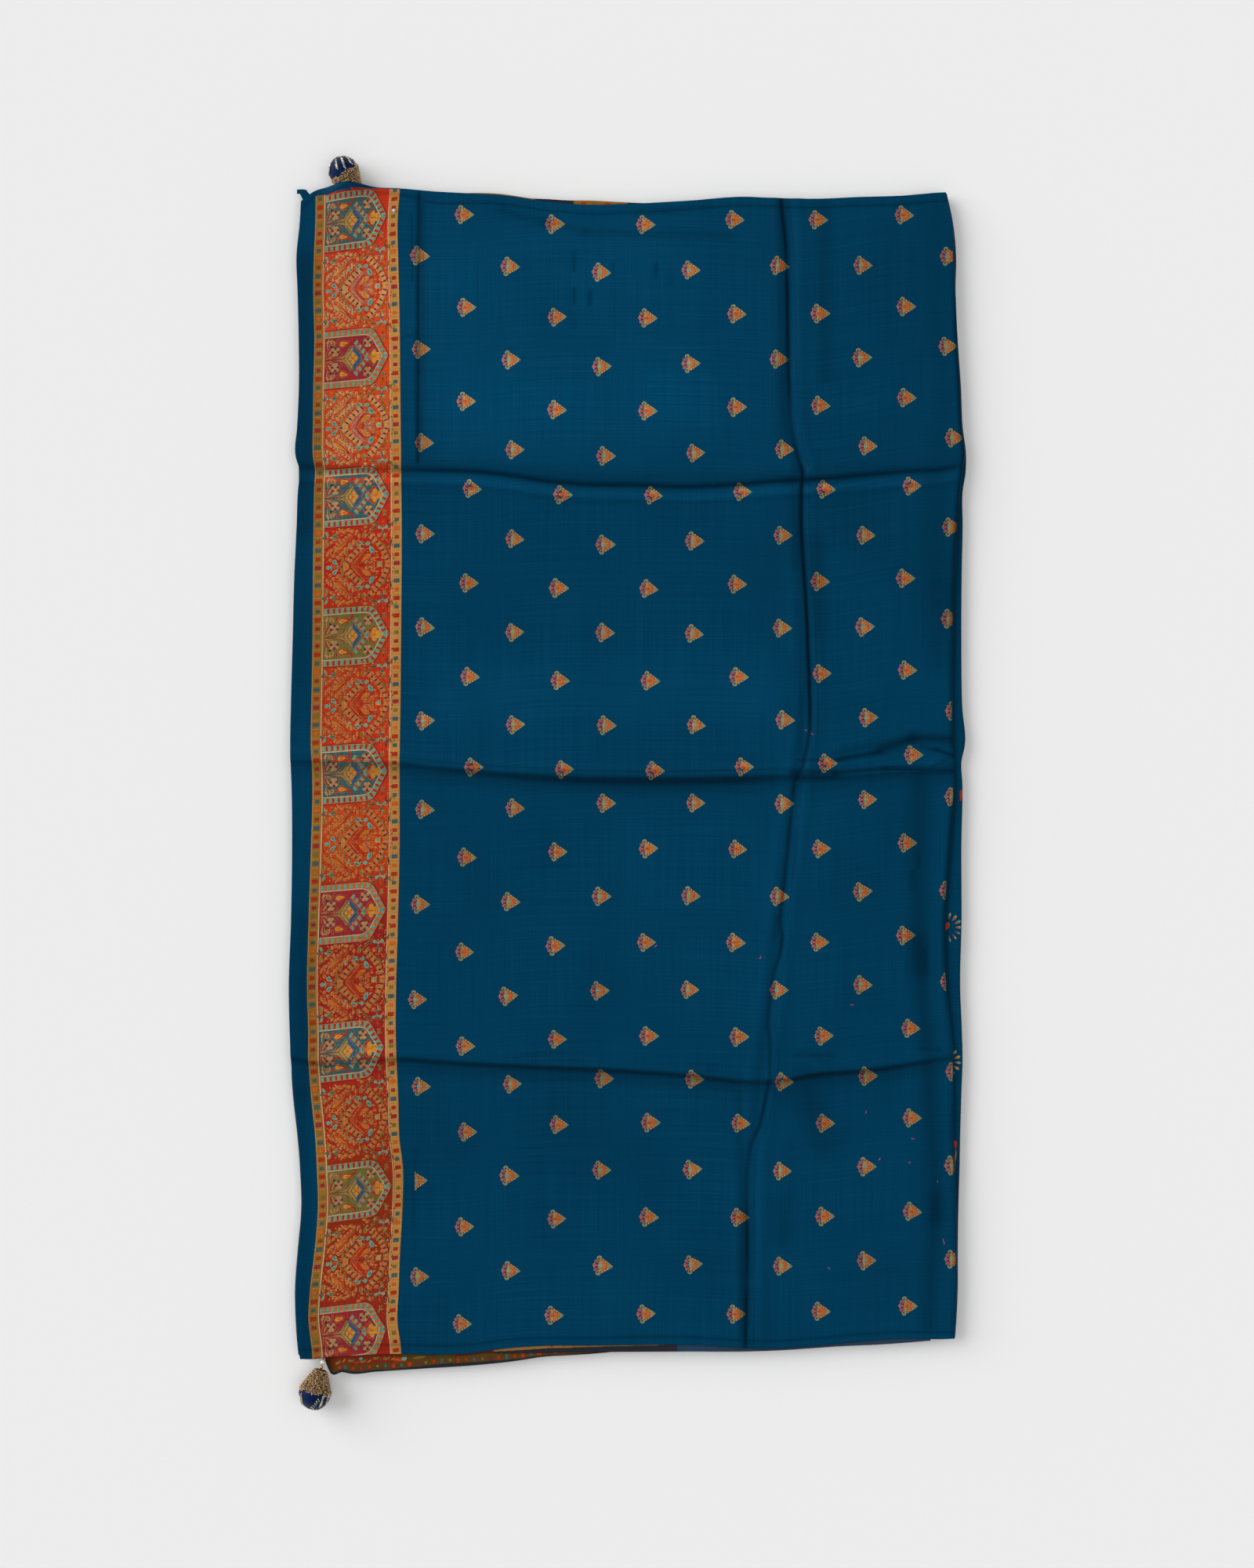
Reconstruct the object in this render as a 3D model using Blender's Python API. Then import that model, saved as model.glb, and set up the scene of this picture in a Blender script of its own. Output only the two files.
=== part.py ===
"""A silk saree, folded lengthwise and laid flat, with a ball tassel at each left corner.

The frame is +X to the right of the folded length, +Y up along its long side and +Z up
from the surface it lies on. Tables and sizes are in millimetres, meshes in metres.
"""
import math

import bpy
import numpy as np

MM = 0.001

# The tables are measured from the middle of the top cloth; the origin is under the
# middle of the whole part, from side to side and from one ball's far side to the other's
LEFT_REACH = -328.7
RIGHT_REACH = 327.7
TOP_REACH = 607.7
BOTTOM_REACH = -605.4
ORIGIN = ((LEFT_REACH + RIGHT_REACH) / 2, (TOP_REACH + BOTTOM_REACH) / 2, 0.0)

# Heights of the layers, from the surface up
WALL = 1.2
GAP = 0.3
STACK_TOP = 12.0
TOP_UNDERSIDE = STACK_TOP + GAP
TOP_FACE = TOP_UNDERSIDE + WALL
MID_TOP = STACK_TOP
LOW_TOP = MID_TOP - WALL - GAP
SHELF = LOW_TOP - WALL - GAP
BORDER_DEPTH = 60.0
RECESS_DEPTH = 63.0
LOW_FOLD_TOP = SHELF + WALL

# A fold's section: half a ring of cloth, then a short leg that returns inside
FOLD_INNER = GAP
FOLD_OUTER = FOLD_INNER + WALL
FOLD_STEPS = 6
TOP_FOLD_LEG = 12.0
LOW_FOLD_LEG = 20.0
FOLD_RECESS = 24.0
LEG_RECESS = 16.0
NO_INSET = -40.0

# The sides of the folded cloth at stations down its length
SIDE_COLUMNS = ("y", "left", "band_left", "band_right", "long_crease", "top_fold", "low_fold")
SIDES = (
    (575, -316.5, -302.0, -220.5, 153.5, 308.5, 309.5),
    (545, -318.0, -302.3, -222.5, 156.0, 315.0, 315.9),
    (510, -321.3, -303.6, -222.0, 157.4, 316.8, 319.0),
    (480, -320.3, -304.3, -221.2, 157.3, 318.0, 318.4),
    (430, -319.1, -303.2, -220.3, 157.0, 320.0, 320.6),
    (385, -318.9, -304.3, -219.9, 156.8, 322.5, 323.7),
    (345, -320.7, -304.7, -219.5, 159.7, 324.5, 325.5),
    (320, -322.4, -304.8, -219.2, 165.2, 327.0, 328.6),
    (302, -318.0, -302.6, -219.1, 170.4, 325.0, 328.2),
    (285, -319.7, -303.5, -218.9, 169.5, 322.8, 325.5),
    (250, -321.1, -304.1, -218.5, 169.1, 320.3, 325.4),
    (200, -323.4, -304.6, -218.6, 170.9, 317.5, 324.4),
    (140, -324.9, -305.0, -219.2, 173.0, 316.1, 324.1),
    (75, -326.7, -306.2, -219.8, 174.2, 315.5, 325.0),
    (37, -327.3, -306.6, -220.4, 170.4, 315.8, 327.4),
    (22, -327.0, -305.8, -220.6, 168.9, 316.3, 324.2),
    (0, -326.1, -305.2, -220.6, 166.0, 317.0, 325.1),
    (-60, -325.5, -306.5, -220.6, 158.1, 313.3, 324.1),
    (-130, -326.5, -308.8, -222.1, 150.2, 308.7, 324.3),
    (-200, -328.7, -310.4, -224.0, 141.4, 310.4, 323.0),
    (-240, -327.8, -309.2, -224.3, 136.3, 314.3, 324.6),
    (-265, -326.7, -309.1, -223.6, 133.3, 316.2, 325.3),
    (-300, -324.0, -306.7, -222.0, 129.8, 316.0, 324.1),
    (-345, -319.2, -302.2, -220.6, 124.8, 316.3, 322.9),
    (-370, -317.4, -300.9, -217.5, 122.4, 317.3, 322.4),
    (-410, -315.7, -299.8, -217.8, 120.4, 318.8, 321.2),
    (-455, -319.6, -303.4, -220.2, 119.5, 319.2, 320.6),
    (-490, -322.1, -307.5, -221.5, 118.9, 319.4, 320.6),
    (-520, -321.3, -308.9, -222.7, 118.2, 318.2, 319.3),
    (-545, -319.3, -306.0, -219.5, 117.5, 317.2, 317.6),
    (-560, -317.5, -305.0, -219.0, 117.3, 317.0, 317.4),
)

# The hems at top and bottom and the three cross creases, at stations across the width
ACROSS_COLUMNS = ("x", "top", "crease_1", "crease_2", "crease_3", "bottom")
ACROSS = (
    (-330, 556.0, 304.0, 24.4, -262.5, -556.9),
    (-322, 560.4, 303.7, 24.2, -263.1, -556.9),
    (-302, 574.6, 302.9, 23.8, -267.2, -556.9),
    (-290, 577.6, 302.7, 23.6, -266.5, -555.3),
    (-275, 581.1, 302.4, 23.3, -265.7, -554.2),
    (-258, 580.4, 302.1, 23.0, -264.9, -553.4),
    (-245, 578.1, 301.8, 22.8, -264.2, -552.7),
    (-221, 576.9, 301.3, 22.0, -263.3, -552.1),
    (-185, 573.8, 300.8, 17.7, -265.7, -552.9),
    (-150, 572.0, 299.6, 15.0, -267.9, -551.2),
    (-125, 570.7, 297.4, 13.1, -269.3, -547.5),
    (-75, 563.8, 290.0, 10.6, -271.4, -544.0),
    (-38, 561.1, 287.0, 9.0, -273.0, -544.0),
    (0, 561.9, 286.6, 8.5, -274.9, -543.6),
    (60, 565.1, 284.9, 8.5, -279.2, -543.3),
    (115, 568.8, 287.8, 9.7, -285.1, -546.2),
    (140, 567.7, 290.0, 10.3, -285.3, -546.7),
    (185, 566.9, 292.2, 8.5, -278.0, -543.8),
    (225, 568.6, 295.8, 10.4, -274.9, -539.9),
    (265, 569.8, 299.2, 13.1, -269.8, -537.1),
    (305, 573.0, 301.8, 13.4, -262.9, -537.7),
    (330, 573.3, 306.0, 12.9, -261.0, -536.4),
)

# Free edges of the lower layers, each with the stretch of x that it covers
LOW_EDGE = (
    (-293.0, -559.0), (-290.5, -566.4), (-275.6, -570.2), (-268.4, -571.7), (-244.9, -569.9),
    (-218.3, -568.1), (-191.7, -566.4), (-152.2, -563.9), (-107.1, -559.2), (-81.9, -555.4),
    (-56.6, -553.8), (-31.5, -552.2), (-6.5, -549.0), (15.0, -541.6), (120.0, -544.4),
    (190.0, -541.2), (265.0, -535.2), (294.0, -535.2),
)
MID_EDGE = (
    (-172.0, -549.0), (-150.0, -551.0), (-133.3, -551.4), (-76.3, -551.2), (-15.6, -550.4),
    (60.4, -550.0), (121.9, -549.8), (148.4, -548.8), (181.8, -546.6), (201.6, -545.2),
    (252.5, -542.7), (277.5, -540.8), (294.0, -539.4),
)
TOP_EDGE = (
    (-213.0, 574.0), (-175.0, 571.5), (-152.2, 572.7), (-123.4, 571.8), (-107.1, 569.6),
    (-94.5, 567.7), (-75.6, 566.7), (-56.7, 565.5), (-37.8, 565.4), (-12.5, 564.2),
    (14.8, 562.9), (60.0, 563.2), (120.0, 566.4), (200.0, 565.0), (294.0, 570.0),
)

# Where a border strip has rows of points near its free edge
BORDER_ROWS = (0.0, 3.0, 10.0)

# The corner of a lower layer that shows at the top left: rows of (x, y), upwards
CORNER_FLAP = (
    ((-312.0, 556.0), (-306.0, 556.0), (-300.0, 556.0)),
    ((-315.1, 568.6), (-309.0, 569.0), (-302.0, 568.0)),
    ((-317.6, 572.0), (-311.0, 573.0), (-308.3, 572.5)),
    ((-320.4, 575.8), (-315.0, 575.9), (-311.2, 575.8)),
)

# The outline that the hidden layers keep to, top and bottom, before each layer's inset
STACK_TOP_EDGE = (
    (-330, 554.0), (-322, 558.0), (-302, 572.0), (-288, 576.0), (-284, 564.0), (-266, 563.0),
    (-248, 564.0), (-244, 576.5), (-221, 576.0), (-185, 573.0), (-150, 572.0), (-107, 568.5),
    (-75, 566.0), (-38, 564.0), (0, 563.0), (60, 564.5), (115, 568.0), (185, 566.5),
    (265, 569.5), (305, 572.5), (330, 572.5),
)
STACK_BOTTOM_EDGE = (
    (-330, -556.0), (-302, -556.0), (-293, -558.0), (-288, -566.0), (-268, -570.7),
    (-218, -567.5), (-152, -563.5), (-107, -559.0), (-57, -553.8), (0, -550.0), (60, -549.5),
    (122, -549.4), (182, -546.4), (252, -542.4), (305, -538.0), (330, -536.5),
)

# Each hidden layer's rim: its lower and upper height, its inset from the outline at the
# left, right, top and bottom, and its inset from the top fold
LAYER_COLUMNS = ("z_low", "z_high", "left", "right", "top", "bottom", "top_fold")
LAYERS = (
    (0.0, 2.4, 2.0, 3.0, 2.6, 3.4, NO_INSET),
    (2.4, 4.7, 0.6, 1.6, 1.4, 2.2, NO_INSET),
    (4.7, 6.8, 1.8, 3.2, 2.4, 2.8, NO_INSET),
    (6.8, 9.0, 0.8, FOLD_RECESS, 1.2, 1.8, NO_INSET),
    (9.0, 10.4, 2.6, FOLD_RECESS, 1.6, RECESS_DEPTH, LEG_RECESS),
    (10.4, 12.0, 1.6, FOLD_RECESS, RECESS_DEPTH, RECESS_DEPTH, LEG_RECESS),
)
RIM_TUCK = 1.3
LOBE_TUCK = 0.2
LOBE_SHARE = 0.28
LAYER_STEP = 0.02
LEFT_SLIP = 1.8
LEFT_SLIP_BELOW = -250.0
LEFT_SLIP_RUN = 40.0

# Stations round the rim of the hidden layers, and the frame that they are shares of
RIM_Y = (-530, -480, -410, -345, -300, -265, -200, -130, -60, 0, 37, 75, 140, 200, 250, 302,
         320, 385, 430, 480, 545)
RIM_SIDE = 322.0
RIM_BOTTOM = -548.0
RIM_TOP = 566.0
CORNER_SHARE = 0.02
SETTLE_ROUNDS = 8

# Rows and columns of the top layer, as steps from its hems, creases, band and fold
HEM_ROWS = (0.0, 2.0, 10.0)
TOP_HEM_ROWS = (-34.0, -16.0, -7.0, -2.0, 0.0)
CREASE_STEPS = (-13.0, -6.0, 0.0, 6.0, 13.0)
RIDGE_STEPS = (-12.0, -6.0, -3.0, 0.0, 5.0, 11.0, 20.0)
BETWEEN = (0.25, 0.5, 0.75)
BAND_SIDE_COLUMNS = (GAP, 9.0, 16.0)
FOLD_COLUMNS = (-26.0, -12.0, -5.0)
BODY_SPANS = 7
FOLD_SPANS = 3
BAND_COLUMNS = (0.0, 12.0, 22.0, 30.0, 38.0, 48.0, 62.0)
STRIP_HEM = 2.5
STRIP_MIDDLE = 0.6

# Stations down the lower fold
LOW_FOLD_SPAN = (-520.0, 555.0)
LOW_FOLD_STATIONS = 30
LOW_FOLD_X = 314.0
LOW_FOLD_INSET = 0.6

# Creases: shape of the raised and sunk cloth along each
PUFF = 1.3
PUFF_EDGE = 34.0
PUFF_LEAST = 0.75
PUFF_WAVE_X = 61.0
PUFF_WAVE_Y = 83.0
PUFF_SHIFT = 0.8
VALLEY_WIDTH = 5.5
VALLEY_SHARE = 0.95
SHOULDER = 1.4
SHOULDER_AT = 12.0
RIDGE_2 = ((-330, 1.6), (-222, 2.2), (-150, 3.8), (-60, 5.8), (110, 5.8), (165, 3.0), (330, 1.8))
RIDGE_2_SOFT = 10.0
RIDGE_2_STEEP = 5.5
RIDGE_3 = ((-330, 2.2), (-222, 2.8), (0, 3.6), (110, 3.8), (200, 3.6), (330, 1.6))
RIDGE_3_SOFT = 8.0
RIDGE_3_STEEP = 4.4
FOLD_FADE = 10.0

# Tassels: ball, beaded cap and the way each one lies
TASSEL_COLUMNS = ("name", "x", "y", "ball", "aim_x", "aim_y", "dip_degrees")
TASSELS = (
    ("top", -274.9, 593.2, 14.5, 0.535, -0.845, 12.0),
    ("bottom", -302.8, -590.0, 15.4, 0.245, 0.970, 7.5),
)
CAP_WALL = 1.2
CAP_SHARE = 0.965
CAP_START = 2.0
CAP_NECK = 5.3
CAP_LENGTH = 23.8
CAP_DOME = 0.85
CAP_TAPER = 1.25
CAP_STEPS = 6
CAP_RINGS = 5
BALL_STEPS = 7
BALL_LIP = 0.985
BUMP_HEIGHT = 11.4
BUMP_X = -271.5
BUMP_WIDTH = 16.5
BUMP_REACH = 16.0
PEARL_RADIUS = 2.65
BEAD_RADIUS = 1.85
LOOP_RADIUS = 0.6
LOOP_TAIL = 12.0
LOOP_SHIFT = 1.5
LOOP_LIFT = 0.1


def column(rows, names, name):
    """One named column of a table as an array."""
    return np.array([row[names.index(name)] for row in rows], float)


def smooth(t):
    """Eased step from 0 to 1."""
    t = np.clip(t, 0.0, 1.0)
    return t * t * (3.0 - 2.0 * t)


def side_x(name, y):
    """The x of a line down the length, at heights y."""
    ys = column(SIDES, SIDE_COLUMNS, "y")[::-1]
    return np.interp(y, ys, column(SIDES, SIDE_COLUMNS, name)[::-1])


def cross_y(name, x):
    """The y of a line across the width, at places x."""
    return np.interp(x, column(ACROSS, ACROSS_COLUMNS, "x"), column(ACROSS, ACROSS_COLUMNS, name))


def along(points, x):
    """The y of a free edge at places x."""
    table = np.array(points, float)
    return np.interp(x, table[:, 0], table[:, 1])


def relief(x, y):
    """How far the top layer stands above its lowest level, in mm.

    Panels between the creases puff up a little. Crease 1 and the long crease are valleys
    with raised shoulders, creases 2 and 3 are ridges, and one bump covers a tassel's cap.
    """
    x = np.asarray(x, float)
    y = np.asarray(y, float)
    inside = np.minimum(cross_y("top", x) - y, y - cross_y("bottom", x))
    inside = np.minimum(inside, x - side_x("left", y))
    inside = np.minimum(inside, side_x("top_fold", y) - x)
    long_way = np.abs(x - side_x("long_crease", y))
    first = np.abs(y - cross_y("crease_1", x))
    second = y - cross_y("crease_2", x)
    third = y - cross_y("crease_3", x)

    wave = np.sin(x / PUFF_WAVE_X + PUFF_SHIFT) * np.sin(y / PUFF_WAVE_Y)
    puff = PUFF * smooth(inside / PUFF_EDGE) * (PUFF_LEAST + (1.0 - PUFF_LEAST) * wave)
    for distance in (long_way, first):
        puff = puff * (1.0 - VALLEY_SHARE * np.exp(-(distance / VALLEY_WIDTH) ** 2))
        puff = puff + SHOULDER * np.exp(-((distance - SHOULDER_AT) / VALLEY_WIDTH) ** 2)
    height_2 = np.interp(x, *np.array(RIDGE_2, float).T)
    width_2 = np.where(second > 0, RIDGE_2_SOFT, RIDGE_2_STEEP)
    ridge_2 = height_2 * np.exp(-(second / width_2) ** 2)
    height_3 = np.interp(x, *np.array(RIDGE_3, float).T)
    width_3 = np.where(third > 0, RIDGE_3_SOFT, RIDGE_3_STEEP)
    ridge_3 = height_3 * np.exp(-(third / width_3) ** 2)
    reach = np.exp(-((cross_y("top", x) - y) / BUMP_REACH) ** 2)
    bump = BUMP_HEIGHT * np.exp(-((x - BUMP_X) / BUMP_WIDTH) ** 2) * reach
    fade = smooth((side_x("top_fold", y) - x) / FOLD_FADE)
    return (puff + ridge_2 + ridge_3) * fade + bump


def material(name, colour, roughness, metallic=0.0):
    """A plain finish for one piece."""
    finish = bpy.data.materials.new(name)
    finish.use_nodes = True
    shader = finish.node_tree.nodes["Principled BSDF"]
    shader.inputs["Base Color"].default_value = (*colour, 1.0)
    shader.inputs["Roughness"].default_value = roughness
    shader.inputs["Metallic"].default_value = metallic
    return finish


def add_object(name, points, faces, finish):
    """Makes one solid from points in mm and its faces."""
    mesh = bpy.data.meshes.new(name)
    mesh.from_pydata(((np.asarray(points) - ORIGIN) * MM).tolist(), [], faces)
    mesh.materials.append(finish)
    mesh.update()
    solid = bpy.data.objects.new(name, mesh)
    bpy.context.collection.objects.link(solid)
    return solid


def grid_faces(rows, columns, start, flip):
    """Faces of a grid of points that is numbered row by row from start."""
    faces = []
    for i in range(rows - 1):
        for j in range(columns - 1):
            a = start + i * columns + j
            quad = (a, a + 1, a + columns + 1, a + columns)
            faces.append(quad[::-1] if flip else quad)
    return faces


def wall(name, upper, lower, finish):
    """A closed wall of cloth between two grids of points, rows running down +Y.

    Both grids have the same number of rows and columns. Columns run towards +X on the
    upper face, so its faces turn up, and the rim is closed along all four edges.
    """
    rows, columns = upper.shape[:2]
    count = rows * columns
    points = np.concatenate([upper.reshape(-1, 3), lower.reshape(-1, 3)])
    faces = grid_faces(rows, columns, 0, False) + grid_faces(rows, columns, count, True)
    last = (rows - 1) * columns
    for j in range(columns - 1):
        faces.append((j + 1, j, count + j, count + j + 1))
        faces.append((last + j, last + j + 1, count + last + j + 1, count + last + j))
    for i in range(rows - 1):
        a = i * columns
        b = a + columns - 1
        faces.append((a, a + columns, count + a + columns, count + a))
        faces.append((b + columns, b, count + b, count + b + columns))
    return add_object(name, points, faces, finish)


def row_lines():
    """The rows of the top layer from the bottom hem up: a base line and an offset each."""
    rows = [("bottom", step) for step in HEM_ROWS]
    blocks = (
        ("bottom", HEM_ROWS[-1], "crease_3", CREASE_STEPS),
        ("crease_3", CREASE_STEPS[-1], "crease_2", RIDGE_STEPS),
        ("crease_2", RIDGE_STEPS[-1], "crease_1", CREASE_STEPS),
    )
    for below, offset, crease, steps in blocks:
        rows.extend((below, offset, crease, steps[0], share) for share in BETWEEN)
        rows.extend((crease, step) for step in steps)
    rows.extend(("crease_1", CREASE_STEPS[-1], "top", TOP_HEM_ROWS[0], share) for share in BETWEEN)
    rows.extend(("top", step) for step in TOP_HEM_ROWS)
    return rows


def row_y(row, x):
    """The y of one row at places x."""
    if len(row) == 2:
        return cross_y(row[0], x) + row[1]
    below, low_offset, above, high_offset, share = row
    low = cross_y(below, x) + low_offset
    high = cross_y(above, x) + high_offset
    return low + (high - low) * share


def column_x(line, y):
    """The x of one column at heights y."""
    if len(line) == 2:
        return side_x(line[0], y) + line[1]
    left, left_offset, right, right_offset, share = line
    low = side_x(left, y) + left_offset
    high = side_x(right, y) + right_offset
    return low + (high - low) * share


def cross_points(lines):
    """Where rows and columns of the top layer cross, as x and y grids.

    Both depend on each other, so a few rounds of the two in turn settle them.
    """
    rows = row_lines()
    middle = np.array([row_y(row, 0.0) for row in rows])
    y = np.repeat(middle[:, None], len(lines), axis=1)
    x = np.zeros_like(y)
    for _ in range(4):
        x = np.stack([column_x(line, y[:, j]) for j, line in enumerate(lines)], axis=1)
        y = np.stack([row_y(row, x[i]) for i, row in enumerate(rows)], axis=0)
    return x, y


def flat_stretch(name, lines, finish):
    """A stretch of the top layer between two of its lines."""
    x, y = cross_points(lines)
    z = relief(x, y)
    upper = np.stack([x, y, TOP_FACE + z], axis=2)
    lower = np.stack([x, y, TOP_UNDERSIDE + z], axis=2)
    return wall(name, upper, lower, finish)


def fold_section(radius, leg, top):
    """Half a ring that turns under at +X, then its leg, as steps in x and z from the edge."""
    centre = top - FOLD_OUTER
    angles = [math.pi / 2 - math.pi * k / FOLD_STEPS for k in range(FOLD_STEPS + 1)]
    steps = [(-FOLD_OUTER + radius * math.cos(a), centre + radius * math.sin(a)) for a in angles]
    steps.append((-FOLD_OUTER - leg / 2, centre - radius))
    steps.append((-FOLD_OUTER - leg, centre - radius))
    return steps


def body_stretch(finish):
    """The ground of the top layer, rolled under at its right fold."""
    lines = [("band_right", step) for step in BAND_SIDE_COLUMNS]
    for k in range(1, BODY_SPANS):
        lines.append(("band_right", BAND_SIDE_COLUMNS[-1], "long_crease", CREASE_STEPS[0], k / BODY_SPANS))
    lines += [("long_crease", step) for step in CREASE_STEPS]
    for k in range(1, FOLD_SPANS):
        lines.append(("long_crease", CREASE_STEPS[-1], "top_fold", FOLD_COLUMNS[0], k / FOLD_SPANS))
    lines += [("top_fold", step) for step in FOLD_COLUMNS]
    x, y = cross_points(lines)
    z = relief(x, y)
    edge = side_x("top_fold", y[:, -1])
    edge_y = y[:, -1]
    upper = [np.stack([x, y, TOP_FACE + z], axis=2)]
    lower = [np.stack([x, y, TOP_UNDERSIDE + z], axis=2)]
    for grids, radius in ((upper, FOLD_OUTER), (lower, FOLD_INNER)):
        for step, height in fold_section(radius, TOP_FOLD_LEG, TOP_FACE):
            ring = np.stack([edge + step, edge_y, np.full_like(edge, height)], axis=1)
            grids.append(ring[:, None, :])
    return wall("body_stretch", np.concatenate(upper, axis=1), np.concatenate(lower, axis=1), finish)


def fold_stretch(finish):
    """The lower fold at the right: an upper leg, half a ring and a lower leg."""
    lowest = cross_y("bottom", LOW_FOLD_X) + LOW_FOLD_INSET
    highest = cross_y("top", LOW_FOLD_X) - LOW_FOLD_INSET
    y = np.array([lowest, *np.linspace(*LOW_FOLD_SPAN, LOW_FOLD_STATIONS), highest])
    edge = side_x("low_fold", y)
    grids = []
    for radius in (FOLD_OUTER, FOLD_INNER):
        under = fold_section(radius, LOW_FOLD_LEG, LOW_FOLD_TOP)
        centre = LOW_FOLD_TOP - FOLD_OUTER
        over = [(-FOLD_OUTER - LOW_FOLD_LEG, centre + radius)]
        sheet = [np.stack([edge + s, y, np.full_like(y, h)], axis=1) for s, h in over + under]
        grids.append(np.stack(sheet, axis=1))
    return wall("fold_stretch_right", grids[0], grids[1], finish)


def border_strip(name, edge, stack_edge, top, finish, sign):
    """A lower layer that shows along a hem; sign is +1 at the bottom and -1 at the top."""
    x = np.array([point[0] for point in edge])
    free = np.array([point[1] for point in edge])
    rows = [free + sign * step for step in BORDER_ROWS]
    rows.append(along(stack_edge, x) + sign * BORDER_DEPTH)
    if sign < 0:
        rows = rows[::-1]
    y = np.stack(rows, axis=0)
    xs = np.repeat(x[None, :], len(rows), axis=0)
    upper = np.stack([xs, y, np.full_like(y, top)], axis=2)
    lower = np.stack([xs, y, np.full_like(y, top - WALL)], axis=2)
    return wall(name, upper, lower, finish)


def corner_flap(finish):
    """The small pointed corner of a lower layer, out at the top left."""
    flat = np.array(CORNER_FLAP)
    level = np.full(flat.shape[:2], STACK_TOP - GAP / 2)
    upper = np.dstack([flat, level])
    lower = np.dstack([flat, level - WALL])
    return wall("corner_flap", upper, lower, finish)


def stack_ring(z, left, right, top, bottom, top_fold):
    """One ring of the hidden layers at height z, inset from the outline on each side."""
    xs = np.array([row[0] for row in STACK_TOP_EDGE[1:-1]], float)
    low_xs = np.array([row[0] for row in STACK_BOTTOM_EDGE[1:-1]], float)
    ys = np.array(RIM_Y, float)

    def place_x(share, y):
        low = side_x("left", y) + left - LEFT_SLIP * smooth((LEFT_SLIP_BELOW - y) / LEFT_SLIP_RUN)
        high = np.minimum(side_x("low_fold", y) - right, side_x("top_fold", y) - top_fold)
        return low + (high - low) * share

    def place_y(share, x):
        low = along(STACK_BOTTOM_EDGE, x) + bottom
        return low + (along(STACK_TOP_EDGE, x) - top - low) * share

    def settle(share_x, share_y):
        x = (2.0 * share_x - 1.0) * RIM_SIDE
        y = RIM_BOTTOM + (RIM_TOP - RIM_BOTTOM) * share_y
        for _ in range(SETTLE_ROUNDS):
            x = place_x(share_x, y)
            y = place_y(share_y, x)
        return np.stack([x, y, np.full_like(x, z)], axis=1)

    def shares(values, first, last):
        return (values - first) / (last - first)

    side = shares(ys, RIM_BOTTOM, RIM_TOP)
    upper = np.clip(shares(xs, -RIM_SIDE, RIM_SIDE), CORNER_SHARE, 1.0 - CORNER_SHARE)
    lower = np.clip(shares(low_xs, -RIM_SIDE, RIM_SIDE), CORNER_SHARE, 1.0 - CORNER_SHARE)
    parts = (
        settle(np.concatenate([[0.0], lower]), np.zeros(lower.size + 1)),
        settle(np.ones(side.size + 1), np.concatenate([[0.0], side])),
        settle(np.concatenate([[1.0], upper[::-1]]), np.ones(upper.size + 1)),
        settle(np.zeros(side.size + 1), np.concatenate([[1.0], side[::-1]])),
    )
    return np.concatenate(parts)


def folded_layers(finish):
    """The hidden layers as one solid: a lobe for each layer round the rim, flat below."""
    rings = []
    for values in LAYERS:
        layer = dict(zip(LAYER_COLUMNS, values))
        thick = layer["z_high"] - layer["z_low"]
        upper_end = 1.0 if values is LAYERS[-1] else 1.0 - LAYER_STEP
        lobe = ((0.0, RIM_TUCK), (LOBE_SHARE, LOBE_TUCK),
                (1.0 - LOBE_SHARE, LOBE_TUCK), (upper_end, RIM_TUCK))
        for share, tuck in lobe:
            insets = [layer[side] + tuck for side in LAYER_COLUMNS[2:]]
            rings.append(stack_ring(layer["z_low"] + share * thick, *insets))
    count = len(rings[0])
    faces = [tuple(reversed(range(count)))]
    for k in range(len(rings) - 1):
        for j in range(count):
            a = k * count + j
            b = k * count + (j + 1) % count
            faces.append((a, b, b + count, a + count))
    faces.append(tuple(range((len(rings) - 1) * count, len(rings) * count)))
    return add_object("folded_layers", np.concatenate(rings), faces, finish)


def turned(name, profile, origin, aim, finish, sides=20):
    """A body of revolution from (distance along aim, radius) pairs that close at both ends."""
    aim = np.array(aim, float)
    aim = aim / np.linalg.norm(aim)
    side = np.cross(aim, (0.0, 0.0, 1.0))
    side = side / np.linalg.norm(side)
    up = np.cross(side, aim)
    angles = 2 * np.pi * np.arange(sides) / sides
    points = [np.array(origin) + aim * profile[0][0]]
    for distance, radius in profile[1:-1]:
        for angle in angles:
            spoke = side * math.cos(angle) + up * math.sin(angle)
            points.append(np.array(origin) + aim * distance + spoke * radius)
    points.append(np.array(origin) + aim * profile[-1][0])
    faces = []
    end = len(points) - 1
    rings = len(profile) - 2
    for j in range(sides):
        k = (j + 1) % sides
        faces.append((0, 1 + j, 1 + k))
        faces.append((end, 1 + (rings - 1) * sides + k, 1 + (rings - 1) * sides + j))
        for r in range(rings - 1):
            a = 1 + r * sides
            faces.append((a + j, a + sides + j, a + sides + k, a + k))
    solid = add_object(name, points, faces, finish)
    solid.data.shade_smooth()
    return solid


def round_profile(radius, steps):
    """A sphere's profile from -radius to +radius."""
    angles = [math.pi * k / steps for k in range(steps + 1)]
    return [(-radius * math.cos(a), radius * math.sin(a)) for a in angles]


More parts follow.
